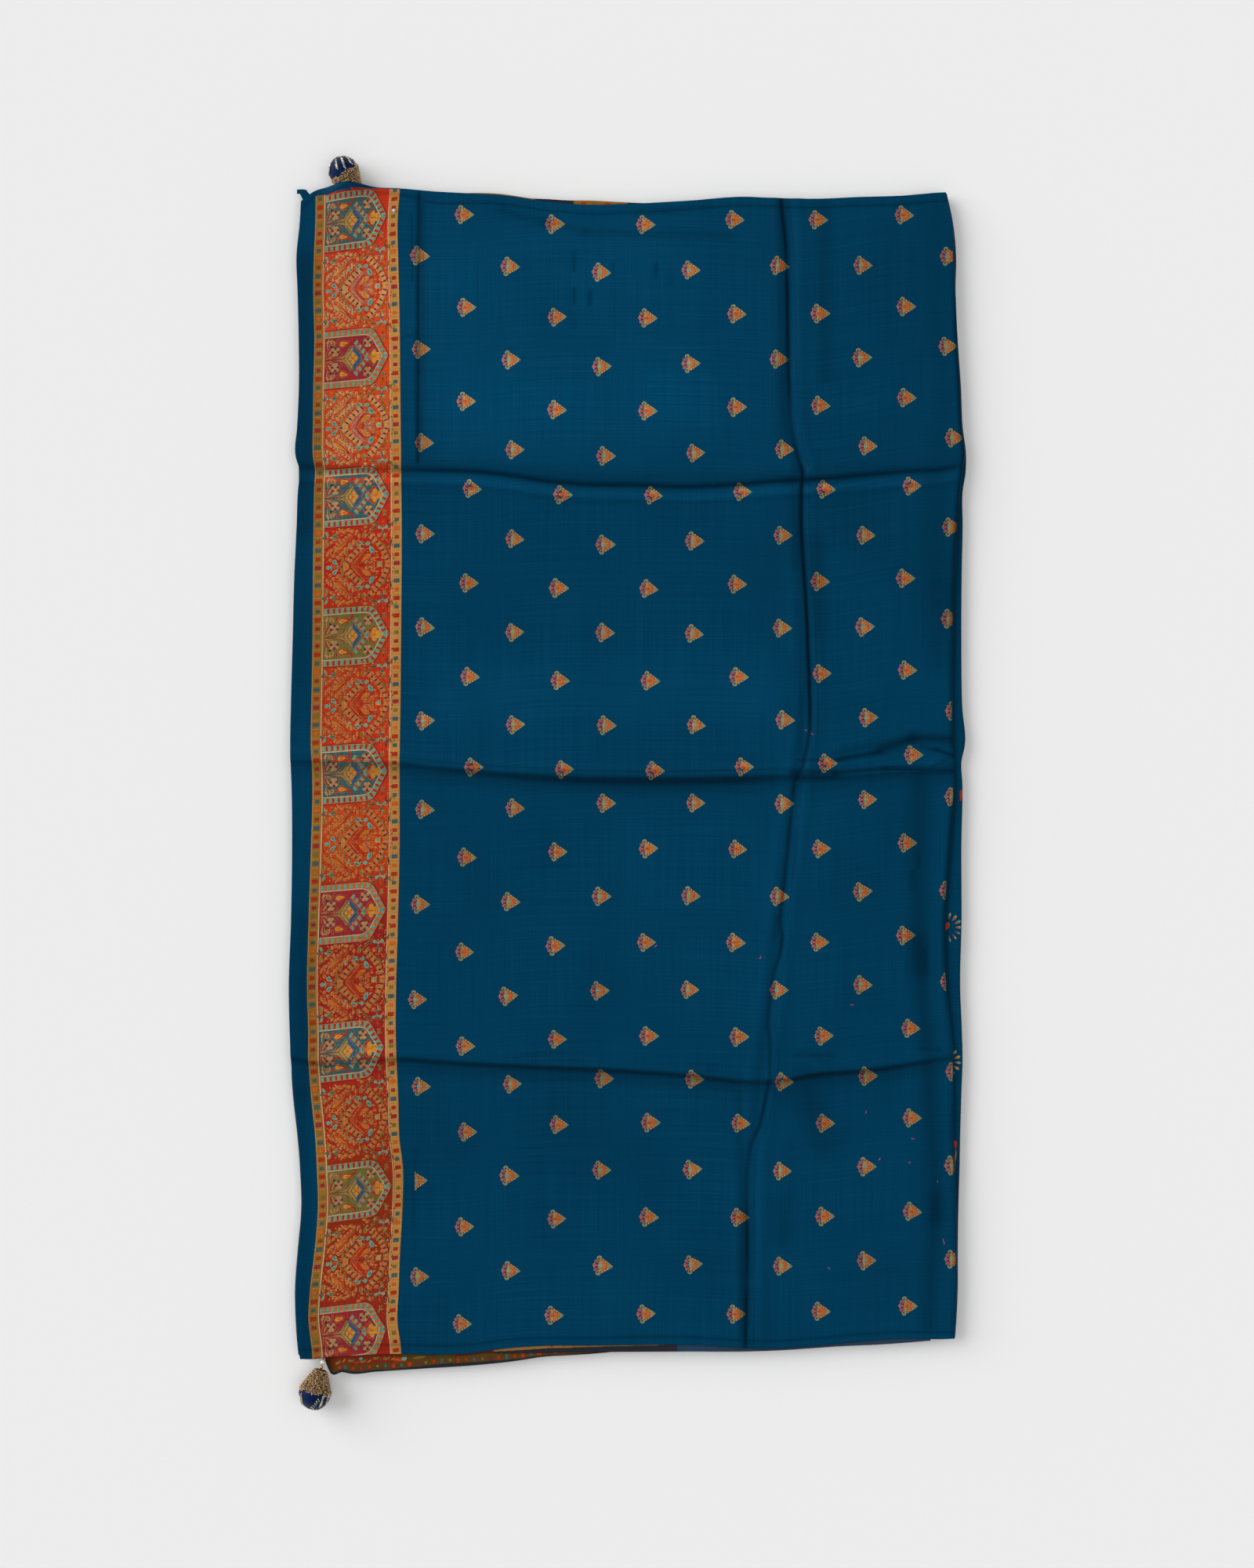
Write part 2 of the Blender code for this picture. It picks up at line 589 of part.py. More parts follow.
def tassel(row, ball_finish, cap_finish):
    """A wound ball and its beaded cap; returns the axis end where the cap closes."""
    values = dict(zip(TASSEL_COLUMNS, row))
    name = values["name"]
    radius = values["ball"]
    tilt = math.radians(values["dip_degrees"])
    level = math.cos(tilt)
    aim = np.array((values["aim_x"] * level, values["aim_y"] * level, -math.sin(tilt)))
    aim = aim / np.linalg.norm(aim)
    centre = np.array((values["x"], values["y"], radius))
    bell = radius * CAP_SHARE
    under_cap = bell - CAP_WALL - GAP
    profile = [(-radius, 0.0)]
    for k in range(1, BALL_STEPS + 1):
        angle = math.pi / 2 * k / BALL_STEPS
        profile.append((-radius * math.cos(angle), radius * math.sin(angle)))
    profile.append((CAP_START - GAP, radius * BALL_LIP))
    quarter = [math.pi / 2 * k / CAP_STEPS for k in range(CAP_STEPS)]
    dome = under_cap * CAP_DOME
    for angle in quarter:
        profile.append((CAP_START + dome * math.sin(angle), under_cap * math.cos(angle)))
    profile.append((CAP_START + dome, 0.0))
    turned("tassel_ball_" + name, profile, centre, aim, ball_finish)

    inside = bell - CAP_WALL
    cap = [(CAP_START + GAP + dome, 0.0)]
    for angle in reversed(quarter):
        cap.append((CAP_START + (dome + GAP) * math.sin(angle), inside * math.cos(angle)))
    for k in range(CAP_RINGS + 1):
        share = k / CAP_RINGS
        taper = bell + (CAP_NECK - bell) * share ** CAP_TAPER
        cap.append((CAP_START + (CAP_LENGTH - CAP_START) * share, taper))
    cap.append((CAP_LENGTH, 0.0))
    turned("tassel_cap_" + name, cap, centre, aim, cap_finish)
    return centre + aim * CAP_LENGTH, aim


def beads_and_loop(neck, aim, pearl_finish, gold_finish, cord_finish):
    """The gold bead and the pearl above the bottom cap, and the cord into the fold."""
    gold = neck + aim * (GAP + BEAD_RADIUS)
    pearl = gold + aim * (BEAD_RADIUS + GAP + PEARL_RADIUS)
    turned("gold_bead_bottom", round_profile(BEAD_RADIUS, 6), gold, aim, gold_finish, 12)
    turned("pearl_bottom", round_profile(PEARL_RADIUS, 8), pearl, aim, pearl_finish, 14)
    start = pearl + aim * (PEARL_RADIUS + GAP)
    inside_z = LOW_TOP + GAP + LOOP_RADIUS + LOOP_LIFT
    inside = np.array((start[0] + LOOP_SHIFT, start[1] + LOOP_TAIL, inside_z))
    reach = inside - start
    length = float(np.linalg.norm(reach))
    cord = [(0.0, 0.0), (0.0, LOOP_RADIUS), (length, LOOP_RADIUS), (length, 0.0)]
    turned("tassel_loop_bottom", cord, start, reach, cord_finish, 8)


def main():
    """Builds the whole folded saree."""
    for old in list(bpy.data.objects):
        bpy.data.objects.remove(old, do_unlink=True)
    ground = material("teal silk", (0.006, 0.075, 0.14), 0.45)
    brocade = material("woven brocade", (0.55, 0.13, 0.04), 0.5)
    border = material("border brocade", (0.35, 0.13, 0.05), 0.5)
    shade = material("shaded silk", (0.005, 0.05, 0.10), 0.5)
    wound = material("navy thread", (0.008, 0.02, 0.10), 0.5)
    beaded = material("gold seed beads", (0.55, 0.38, 0.18), 0.35, 0.5)
    pearl = material("pearl", (0.75, 0.70, 0.62), 0.25)
    gold = material("gold bead", (0.70, 0.48, 0.20), 0.3, 0.8)

    body_stretch(ground)
    band = [("band_left", step) for step in BAND_COLUMNS]
    band.append(("band_right", 0.0))
    flat_stretch("woven_band", band, brocade)
    strip = [("left", 0.0), ("left", STRIP_HEM), ("left", 0.0, "band_left", -GAP, STRIP_MIDDLE)]
    strip.append(("band_left", -GAP))
    flat_stretch("end_strip", strip, ground)
    corner_flap(ground)
    border_strip("border_stretch_low", LOW_EDGE, STACK_BOTTOM_EDGE, LOW_TOP, border, 1)
    border_strip("border_stretch_mid", MID_EDGE, STACK_BOTTOM_EDGE, MID_TOP, border, 1)
    border_strip("border_stretch_top", TOP_EDGE, STACK_TOP_EDGE, MID_TOP, border, -1)
    fold_stretch(ground)
    folded_layers(shade)
    for row in TASSELS:
        neck, aim = tassel(row, wound, beaded)
    beads_and_loop(neck, aim, pearl, gold, wound)


main()
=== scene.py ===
import math

import bpy
import numpy as np
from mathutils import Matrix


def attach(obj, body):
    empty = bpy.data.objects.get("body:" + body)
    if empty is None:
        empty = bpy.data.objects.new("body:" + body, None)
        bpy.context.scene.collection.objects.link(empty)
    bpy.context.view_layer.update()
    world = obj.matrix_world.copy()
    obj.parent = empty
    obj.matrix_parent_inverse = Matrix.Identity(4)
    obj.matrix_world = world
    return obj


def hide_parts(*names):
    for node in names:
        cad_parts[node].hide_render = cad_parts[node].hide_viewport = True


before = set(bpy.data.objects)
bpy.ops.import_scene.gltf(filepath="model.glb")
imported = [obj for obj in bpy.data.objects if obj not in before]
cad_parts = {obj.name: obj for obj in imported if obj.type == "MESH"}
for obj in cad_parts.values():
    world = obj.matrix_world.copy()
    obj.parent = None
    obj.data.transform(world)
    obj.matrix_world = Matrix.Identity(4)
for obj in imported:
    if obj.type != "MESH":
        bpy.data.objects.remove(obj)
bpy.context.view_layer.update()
scene = bpy.context.scene

# Sizes below are in mm from the middle of the top cloth, as it lies: x to the right, y up
# the long side, z up from the surface. place() turns them into the frame's metres.
layout = {
    "origin": (-0.5, 1.15, 0.0), "wall": 1.2, "gap": 0.3, "stackTop": 12.0, "topFace": 13.5,
    "lowTop": 10.5, "lowFoldTop": 10.2, "foldLeg": 12.0, "lowFoldLeg": 20.0,
}


def table(text):
    # Rows of words and numbers, parted by semicolons; a row that starts with # is a note
    rows = (row.split("#")[0].split() for row in text.split(";"))
    return [tuple(word if word[0].isalpha() else float(word) for word in row) for row in rows if row]


# Stations down the long side (y) and the x of each line there
sideStations = {name: values for name, *values in table("""
    y 575 545 510 480 430 385 345 320 302 285 250 200 140 75 37 22 0 -60 -130 -200 -240 -265 -300 -345
        -370 -410 -455 -490 -520 -545 -560;
    left -316.5 -318 -321.3 -320.3 -319.1 -318.9 -320.7 -322.4 -318 -319.7 -321.1 -323.4 -324.9 -326.7
        -327.3 -327 -326.1 -325.5 -326.5 -328.7 -327.8 -326.7 -324 -319.2 -317.4 -315.7 -319.6 -322.1
        -321.3 -319.3 -317.5;
    bandLeft -302 -302.3 -303.6 -304.3 -303.2 -304.3 -304.7 -304.8 -302.6 -303.5 -304.1 -304.6 -305 -306.2
        -306.6 -305.8 -305.2 -306.5 -308.8 -310.4 -309.2 -309.1 -306.7 -302.2 -300.9 -299.8 -303.4 -307.5
        -308.9 -306 -305;
    bandRight -220.5 -222.5 -222 -221.2 -220.3 -219.9 -219.5 -219.2 -219.1 -218.9 -218.5 -218.6 -219.2
        -219.8 -220.4 -220.6 -220.6 -220.6 -222.1 -224 -224.3 -223.6 -222 -220.6 -217.5 -217.8 -220.2
        -221.5 -222.7 -219.5 -219;
    longCrease 153.5 156 157.4 157.3 157 156.8 159.7 165.2 170.4 169.5 169.1 170.9 173 174.2 170.4 168.9
        166 158.1 150.2 141.4 136.3 133.3 129.8 124.8 122.4 120.4 119.5 118.9 118.2 117.5 117.3;
    topFold 308.5 315 316.8 318 320 322.5 324.5 327 325 322.8 320.3 317.5 316.1 315.5 315.8 316.3 317
        313.3 308.7 310.4 314.3 316.2 316 316.3 317.3 318.8 319.2 319.4 318.2 317.2 317;
    lowFold 309.5 315.9 319 318.4 320.6 323.7 325.5 328.6 328.2 325.5 325.4 324.4 324.1 325 327.4 324.2
        325.1 324.1 324.3 323 324.6 325.3 324.1 322.9 322.4 321.2 320.6 320.6 319.3 317.6 317.4;
""")}

# Stations across (x) and the y of each line there
crossStations = {name: values for name, *values in table("""
    x -330 -322 -302 -290 -275 -258 -245 -221 -185 -150 -125 -75 -38 0 60 115 140 185 225 265 305 330;
    top 556 560.4 574.6 577.6 581.1 580.4 578.1 576.9 573.8 572 570.7 563.8 561.1 561.9 565.1 568.8 567.7
        566.9 568.6 569.8 573 573.3;
    crease1 304 303.7 302.9 302.7 302.4 302.1 301.8 301.3 300.8 299.6 297.4 290 287 286.6 284.9 287.8 290
        292.2 295.8 299.2 301.8 306;
    crease2 24.4 24.2 23.8 23.6 23.3 23 22.8 22 17.7 15 13.1 10.6 9 8.5 8.5 9.7 10.3 8.5 10.4 13.1 13.4
        12.9;
    crease3 -262.5 -263.1 -267.2 -266.5 -265.7 -264.9 -264.2 -263.3 -265.7 -267.9 -269.3 -271.4 -273
        -274.9 -279.2 -285.1 -285.3 -278 -274.9 -269.8 -262.9 -261;
    bottom -556.9 -556.9 -556.9 -555.3 -554.2 -553.4 -552.7 -552.1 -552.9 -551.2 -547.5 -544 -544 -543.6
        -543.3 -546.2 -546.7 -543.8 -539.9 -537.1 -537.7 -536.4;
""")}


def softLine(stations, values, at):
    # A curve through the table's points: each span is a cubic whose end slopes are the
    # neighbouring spans' slopes, weighted by the other span's length. Level beyond the ends.
    xs = np.asarray(stations, float)
    ys = np.asarray(values, float)
    if xs[0] > xs[-1]:
        xs, ys = xs[::-1], ys[::-1]
    spans = np.diff(xs)
    slopes = np.diff(ys) / spans
    ends = np.empty_like(ys)
    ends[1:-1] = (slopes[:-1] * spans[1:] + slopes[1:] * spans[:-1]) / (spans[1:] + spans[:-1])
    ends[0], ends[-1] = slopes[0], slopes[-1]
    at = np.clip(np.asarray(at, float), xs[0], xs[-1])
    k = np.clip(np.searchsorted(xs, at) - 1, 0, len(spans) - 1)
    t = (at - xs[k]) / spans[k]
    rise = ys[k + 1] - ys[k]
    a = ends[k] * spans[k] - rise
    b = rise - ends[k + 1] * spans[k]
    return ys[k] + rise * t + t * (1 - t) * (a * (1 - t) + b * t)


def sideX(name, y):
    return softLine(sideStations["y"], sideStations[name], y)


# The stitched hem above the band's end: how far down it reaches, at stations across
bandHem = ((-306, -290, -276, -262, -250, -240, -218), (4.6, 7.2, 6.4, 4.6, 2.4, 0.9, 0.9))


def crossY(name, x):
    if name == "bandHem":
        return crossY("top", x) - np.interp(x, *bandHem)
    return softLine(crossStations["x"], crossStations[name], x)


def ease(t):
    t = np.clip(t, 0.0, 1.0)
    return t * t * (3.0 - 2.0 * t)


def hump(distance, width):
    return np.exp(-(distance / width) ** 2)


relief = {
    "puff": 1.3, "puffEdge": 34.0,
    "ridge2X": (-330, -222, -150, -60, 110, 165, 330),
    "ridge2": (1.6, 2.2, 3.8, 5.8, 5.8, 3.0, 1.8),
    "ridge2Soft": 10.0, "ridge2Steep": (2.6, 2.8, 3.6, 7.0, 7.0, 4.0, 3.0),
    "ridge3X": (-330, -222, 0, 110, 200, 330),
    "ridge3": (2.2, 2.8, 3.6, 3.8, 3.6, 1.6),
    "ridge3Soft": 8.0, "ridge3Steep": (4.4, 4.4, 4.4, 4.4, 4.4, 4.4),
    "bump": 11.4, "bumpX": -271.5, "bumpWidth": 16.5, "bumpReach": 16.0,
}
# Valleys: how wide each is, and its shoulders' height, distance from it and width
valleys = {"longCrease": (5.0, 1.2, 11.0, 6.0), "crease1": (4.8, 2.0, 9.0, 5.0)}
# Where the hems are stitched, along which shade is painted: their distance in from the edge, at stations
# across
hemLines = {"top": ((-330, -302, -225, -185, -130, 330), (9.0, 6.0, 5.4, 11.4, 8.8, 8.6)),
            "bottom": ((-330, -225, 0, 330), (9.4, 9.2, 8.0, 6.4))}

# Small creases, listed one by one: start, end, how far the middle bows aside, width and height
smallCreases = table("""
    -203 572 -203 314 0.5 2.6 -1; 269 482 306 469 -3 1.6 -0.9; -65 191 60 174 -5 1.8 -0.7;
    288 302 325 311 1 2.6 0.9; 288 15 318 27 2 3 1.8; 170 24 312 44 9 6.5 2.2; 200 27 316 42 5 2.4 -1.2;
    163 12 315 13 3 2.4 -1.3; 288 -258 303 -256 0 2 0.9; 165 -259 196 -277 1 3 1.2;
    112 -300 116 -540 3 7 -1.3; 286 -20 284 -260 3 12 -1.5; 289 -260 297 -520 -4 11 -1.7;
    -122 557 -45 536 -3 3.4 -0.6; -45 536 100 531 3 3.2 -0.6; 8 554 82 561 0 3 -0.4
""")
# Short marks of painted shade, for small dimples in the cloth: the x, then the two ends in y
puckerShadeMarks = table("""
    -52 514 497; -13 505 491; 28 504 490; 41 496 485; -52 480 465; -37 478 464; -12 478 464; -12 458 443;
    -53 456 441
""")

# Light that the folds hold back or throw back: a line of the cloth, the distance aside of it
# (up, or to the right), the width and the share taken or added
foldShades = table("""
    crease1 2.8 2.6 -0.7; crease1 9.5 5.5 -0.18; crease1 -6.5 4.2 0.34; crease2 4 0.9 -0.24;
    crease2 -5 4.4 -0.54; crease2 -12 7 -0.26; crease2 9 3.2 0.12; crease3 -3.4 2.8 -0.56;
    crease3 -9.6 7.5 -0.28; longCrease 0 2.1 -0.92; longCrease 0.5 5 -0.14; longCrease 7.8 1.1 -0.24;
    topFold -1.6 2.6 -0.78; top -3 3.6 0.06; bottom 3 3 0.05
""")
# How far aside of its line the long crease's painted dark line of shade runs, at heights along it
creaseDrift = table("""
    -560 -500 -466 -433 -370 -349 -330 -300 -282 -249 -232 -200 -182 -165 -148 -132 -65 -15 2 18 35 52
    68 90 120 150 200 250 290 335 386 420 480 512 545 575;
    -3.3 -3.4 -3.4 -4 -6 -5 2 5 6 3 -1.7 -2.4 -2 2 2 -2.4 -2.4 -4.2 -4.8 1.6 3.6 4.4 3 1.6 1.5 1.6 0.4
    -0.8 -1.2 -1 -0.2 -1.4 -2.6 -3.6 -5.4 -6
""")
# How strong they are at stations along their line
shadeStrength = {
    "crease1": ((-330, -225, -205, -150, 140, 230, 300, 330), (0.5, 0.55, 0.8, 1.0, 1.0, 1.0, 0.6, 0.4)),
    "crease2": ((-330, -230, -180, -100, -50, 100, 135, 160, 330),
                (0.5, 0.66, 0.7, 0.86, 1.0, 1.1, 0.7, 0.5, 0.35)),
    "crease3": ((-330, -230, -200, -100, 0, 100, 130, 190, 250, 330),
                (0.5, 0.7, 0.95, 0.95, 1.0, 0.9, 0.5, 1.1, 1.05, 0.4)),
    "longCrease": ((-560, -500, -483, -450, -430, -400, -360, -316, -290, -262, -216, -182, -155, -125, -98,
                    -70, -49, -25, -4, 10, 25, 45, 68, 190, 270, 300, 330, 352, 370, 390, 485, 503, 520, 575),
                   (0.8, 1.0, 0.7, 1.0, 1.0, 0.5, 0.4, 0.8, 0.7, 0.6, 0.5, 0.5, 0.8, 0.5, 0.7, 0.6, 0.7, 0.45,
                    0.7, 0.5, 0.7, 0.8, 1.1, 1.15, 1.1, 1.0, 0.6, 0.35, 0.6, 0.9, 1.05, 0.7, 0.95, 0.9)),
    "topFold": ((-560, -400, -330, -280, -240, -150, -20, 0, 60, 200, 240, 440, 520, 545, 575),
                (0.3, 0.5, 0.6, 0.3, 0.5, 0.9, 0.9, 0.3, 0.6, 0.9, 1.0, 0.9, 0.2, 0.0, 0.0)),
    "top": ((-330, 330), (1.0, 1.0)), "bottom": ((-330, 330), (1.0, 1.0)),
}
# Soft patches of sheen and shade along short lines: start, end, width, share
shadePatches = table("""
    147 560 149 330 8 -0.24; 190 562 191 395 8 -0.24; 159 300 162 215 9 -0.2; 182 235 184 150 8 -0.24;
    160 120 158 60 8 -0.14; 172 -284 188 -350 15 -0.24; 158 -350 158 -430 8 -0.14;
    108 -300 111 -535 4 -0.26; 283 5 283 -180 11 -0.36; 282 -150 290 -255 9 -0.4;
    291 -275 299 -420 10 -0.42; 297 -400 292 -525 8 -0.34; 166 23 205 23 1.8 -0.4; 204 24 244 31 2.6 -0.64;
    244 33 276 44 5 -0.64; 276 45 318 43 4.8 -0.62; 284 36 300 33 1.6 -0.6; 300 33 320 26 1.8 -0.66;
    160 10 200 9 5 -0.56; 200 11 250 15 2.2 -0.58; 250 15 318 13 2.6 -0.6; 318 38 325 35 4 -0.5;
    163 -262 200 -263 2.4 -0.3; 284 -256 303 -258 1.4 -0.3; -150 480 20 500 95 0.24;
    -170 365 60 370 52 0.28; -170 90 140 85 42 0.18; -190 205 -70 195 40 0.06; 60 -60 100 -200 60 0.05;
    -190 -330 0 -350 50 -0.07; 220 260 300 180 45 -0.16; 230 -60 236 -500 46 -0.06;
    300 560 305 330 16 -0.1; 296 300 300 120 14 -0.14; -202.2 572 -202 400 2.3 -0.66;
    -202 400 -203.4 312 2.2 -0.7; -198.6 560 -199.2 320 3.6 -0.26; -209.4 552 -208 486 1.2 -0.36;
    -205 440 -205.6 330 1 -0.2; -205.4 -353 -207.7 -425 2.2 -0.22; -218 451 -130.2 445.7 1 -0.34;
    -218 431 -204.8 437 1.2 -0.28; -313 505 -314 250 12 -0.34; -314 240 -316 100 11 -0.16;
    -315 -130 -316 -300 10 -0.26; -316 -300 -312 -560 10 -0.24; -314 560 -314 -550 22 -0.07;
    281.5 -66 281.5 -80 2.4 -0.3; 275.8 -86 275.6 -100 2.6 -0.34; 288 -162 289 -182 3 -0.3;
    163 -44 160.5 -90 2.2 -0.22; 168.6 92 168 30 2.6 -0.2; 146 -128 142 -150 4.5 -0.24;
    152 -305 178 -318 14 -0.16; 146 -405 148 -440 10 -0.16; 300 250 302 330 12 -0.08;
    -122 555 -80 544 5 -0.22; -80 544 -40 535 4 -0.24; -40 535 100 530 4 -0.22; 8 553 82 560 3.5 -0.16;
    -267 10 -258 10 26 -0.1; -267 -395 -258 -395 26 -0.14; -267 -124 -258 -124 26 -0.05;
    -262 -300 -262 -560 42 -0.05
""")


def crumple(x, y):
    # Each small crease is a soft ridge or trough whose height falls off as a bell on the
    # distance from its bowed line, and to nothing at both ends.
    total = np.zeros_like(x)
    for x0, y0, x1, y1, bow, width, height in smallCreases:
        length = math.hypot(x1 - x0, y1 - y0)
        ux, uy = (x1 - x0) / length, (y1 - y0) / length
        t = ((x - x0) * ux + (y - y0) * uy) / length
        aside = (y - y0) * ux - (x - x0) * uy - bow * 4 * t * (1 - t)
        ends = ease(t / 0.3) * ease((1 - t) / 0.3)
        total = total + height * hump(aside, width) * ends
    return total


def reliefAt(x, y):
    # Panels between the creases puff up, crease 1 and the long one are valleys with raised
    # shoulders, creases 2 and 3 are ridges, one bump covers the upper tassel's cap, and low
    # waves and small creases lie over all.
    x, y = np.broadcast_arrays(np.asarray(x, float), np.asarray(y, float))
    r = relief
    fold, top = sideX("topFold", y), crossY("top", x)
    inside = np.minimum(np.minimum(top - y, y - crossY("bottom", x)),
                        np.minimum(x - sideX("left", y), fold - x))
    away = {"longCrease": np.abs(x - sideX("longCrease", y)), "crease1": np.abs(y - crossY("crease1", x))}
    sag = 0.75 + 0.25 * np.sin(x / 61.0 + 0.8) * np.sin(y / 83.0)
    puff = r["puff"] * ease(inside / r["puffEdge"]) * sag
    for name, (width, shoulder, shoulderAt, shoulderWidth) in valleys.items():
        puff = puff * (1 - 0.95 * hump(away[name], width))
        puff = puff + shoulder * hump(away[name] - shoulderAt, shoulderWidth)
    ridges = []
    for k in ("2", "3"):
        above = y - crossY("crease" + k, x)
        stations, height, soft, steep = (r["ridge" + k + part] for part in ("X", "", "Soft", "Steep"))
        side = np.where(above > 0, soft, np.interp(x, stations, steep))
        ridges.append(np.interp(x, stations, height) * hump(above, side))
    waves = 0.12 * np.sin(x / 9.1 + 0.7 * np.sin(y / 71.0)) + 0.10 * np.sin(y / 23.0 + x / 47.0)
    lift = puff + ridges[0] + ridges[1] + (waves + crumple(x, y)) * ease(inside / 12.0)
    fade = 0.25 + 0.75 * ease((fold - x) / 12.0)
    bump = r["bump"] * hump(x - r["bumpX"], r["bumpWidth"]) * hump(top - y, r["bumpReach"])
    return np.maximum(lift, 0.0) * fade + bump


def topHeight(x, y):
    return layout["topFace"] + reliefAt(x, y)


def shadeAt(x, y):
    # The share of light at a place of the top layer: each line's bell on the distance from
    # it, times its strength there, and each patch's bell on the distance from its short line.
    x, y = np.broadcast_arrays(np.asarray(x, float), np.asarray(y, float))
    total = np.ones_like(x)
    for line, offset, width, amount in foldShades:
        aside, run = (y - crossY(line, x), x) if line in crossStations else (x - sideX(line, y), y)
        if line == "longCrease":
            aside = aside - np.interp(y, *creaseDrift)
        total = total * (1 + amount * np.interp(run, *shadeStrength[line]) * hump(aside - offset, width))
    # painted shade along each hem's stitched line: a thin dark line and a wider soft band beside it
    for name, sign in (("top", -1), ("bottom", 1)):
        aside = sign * (y - crossY(name, x)) - np.interp(x, *hemLines[name])
        total = total * (1 - 0.34 * hump(aside, 1.1)) * (1 - 0.10 * hump(aside + 2.0, 3.5))
    # painted shade: a thin dark mark for each small dimple
    drawn = [(x0, y0, x0 + 0.5, y1, 1.5, -0.42) for x0, y0, y1 in puckerShadeMarks]
    for x0, y0, x1, y1, width, amount in shadePatches + drawn:
        span = np.array([x1 - x0, y1 - y0])
        t = np.clip(((x - x0) * span[0] + (y - y0) * span[1]) / (span @ span), 0, 1)
        away = np.hypot(x - x0 - t * span[0], y - y0 - t * span[1])
        total = total * (1 + amount * hump(away, width))
    return total


def place(points):
    # millimetres of the tables to the frame's metres
    return (np.asarray(points, float) - layout["origin"]) * 0.001


def quadMesh(name, points, quads, mapU, mapV, colour=None, shade=None):
    # A mesh from points in mm and faces of equal corners. Its clothMap is in metres along the
    # cloth, and OFBake is the same map stretched over the whole square.
    mesh = bpy.data.meshes.new(name)
    count, corners = quads.shape
    loops = quads.ravel()
    mesh.vertices.add(len(points))
    mesh.vertices.foreach_set("co", place(points).astype(np.float32).ravel())
    mesh.loops.add(len(loops))
    mesh.loops.foreach_set("vertex_index", loops.astype(np.int32))
    mesh.polygons.add(count)
    for label, values in (("loop_start", np.arange(count, dtype=np.int32) * np.int32(corners)),
                          ("loop_total", np.full(count, corners, np.int32)),
                          ("use_smooth", np.ones(count, bool))):
        mesh.polygons.foreach_set(label, values)
    wide = np.stack([mapU[loops], mapV[loops]], axis=1) * 0.001
    low = wide.min(axis=0)
    bake = (wide - low) / np.maximum(wide.max(axis=0) - low, 1e-6) * 0.98 + 0.01
    for mapName, values in (("clothMap", wide), ("OFBake", bake)):
        mesh.uv_layers.new(name=mapName).data.foreach_set("uv", values.astype(np.float32).ravel())
    if colour is not None:
        tint = mesh.attributes.new("threadTint", "FLOAT_COLOR", "POINT")
        rgba = np.concatenate([colour, np.ones((len(colour), 1))], axis=1)
        tint.data.foreach_set("color", rgba.astype(np.float32).ravel())
    light = mesh.attributes.new("foldShade", "FLOAT", "POINT")
    shares = np.ones(len(points)) if shade is None else shade.ravel()
    light.data.foreach_set("value", shares.astype(np.float32))
    mesh.update()
    mesh.validate()
    piece = bpy.data.objects.new(name, mesh)
    scene.collection.objects.link(piece)
    return piece


def gridQuads(rows, cols):
    index = np.arange(rows * cols).reshape(rows, cols)
    quads = np.stack([index[:-1, :-1], index[:-1, 1:], index[1:, 1:], index[1:, :-1]], axis=2)
    return quads.reshape(-1, 4)


def halves(quads):
    return np.concatenate([quads[:, [0, 1, 2]], quads[:, [0, 2, 3]]])


def closedRows(rows, count):
    # Quads between rings of points, each ring closed on itself, and the rings' own numbers
    index = np.arange(rows * count).reshape(rows, count)
    turned = np.roll(index, -1, axis=1)
    return np.stack([index[:-1], turned[:-1], turned[1:], index[1:]], axis=2).reshape(-1, 4), index, turned


def usedOnly(faces):
    # The points that the faces use, and the faces by those points' new numbers
    used, renumbered = np.unique(faces, return_inverse=True)
    return used, renumbered.reshape(faces.shape)


def partMesh(name, quads, grid, u, v, colour, shade):
    # A piece of a sheet: the chosen quads of its grid, with only the points that they use
    used, faces = usedOnly(quads)
    return quadMesh(name, grid.reshape(-1, 3)[used], faces, u.ravel()[used], v.ravel()[used],
                    colour.reshape(-1, 3)[used], shade.ravel()[used])


def placeLines(segments, valueAt, other):
    # Lines of a grid: each segment runs from one named line plus an offset to another, with
    # its own count of steps, and is worked out at the other coordinate of every point.
    parts = []
    k = 0
    for fromLine, fromOff, toLine, toOff, steps in segments:
        block = other[:, k:k + steps]
        low = valueAt(fromLine, block) + fromOff
        high = valueAt(toLine, block) + toOff
        parts.append(low + (high - low) * (np.arange(steps) / steps))
        k += steps
    block = other[:, k:k + 1]
    parts.append(valueAt(segments[-1][2], block) + segments[-1][3])
    return np.concatenate(parts, axis=1)


topRows = (
    ("bottom", 0.0, "bottom", 14.0, 20),
    ("bottom", 14.0, "crease3", -16.0, 74),
    ("crease3", -16.0, "crease3", 16.0, 30),
    ("crease3", 16.0, "crease2", -12.0, 74),
    ("crease2", -12.0, "crease2", 20.0, 42),
    ("crease2", 20.0, "crease1", -18.0, 72),
    ("crease1", -18.0, "crease1", 18.0, 32),
    ("crease1", 18.0, "top", -40.0, 62),
    ("top", -40.0, "top", -18.0, 14),
    ("top", -18.0, "top", 0.0, 26),
)


def crossPoints(columns, rows=topRows):
    # The x of a column depends on y and the y of a row on x, so the two are worked out in
    # turn a few times, which settles them.
    countX = sum(c[4] for c in columns) + 1
    countY = sum(r[4] for r in rows) + 1
    x = np.repeat(np.linspace(-250, 250, countX)[None, :], countY, axis=0)
    y = np.repeat(np.linspace(-550, 570, countY)[:, None], countX, axis=1)
    for turn in range(5):
        y = placeLines(rows, crossY, x.T).T
        x = placeLines(columns, sideX, y)
    return x, y


# Each side of a grid of cloth: its axis, which end of it, and the way out of the cloth
hemSides = {"bottom": (0, 0, 0, -1), "top": (0, -1, 0, 1), "left": (1, 0, -1, 0), "right": (1, -1, 1, 0)}


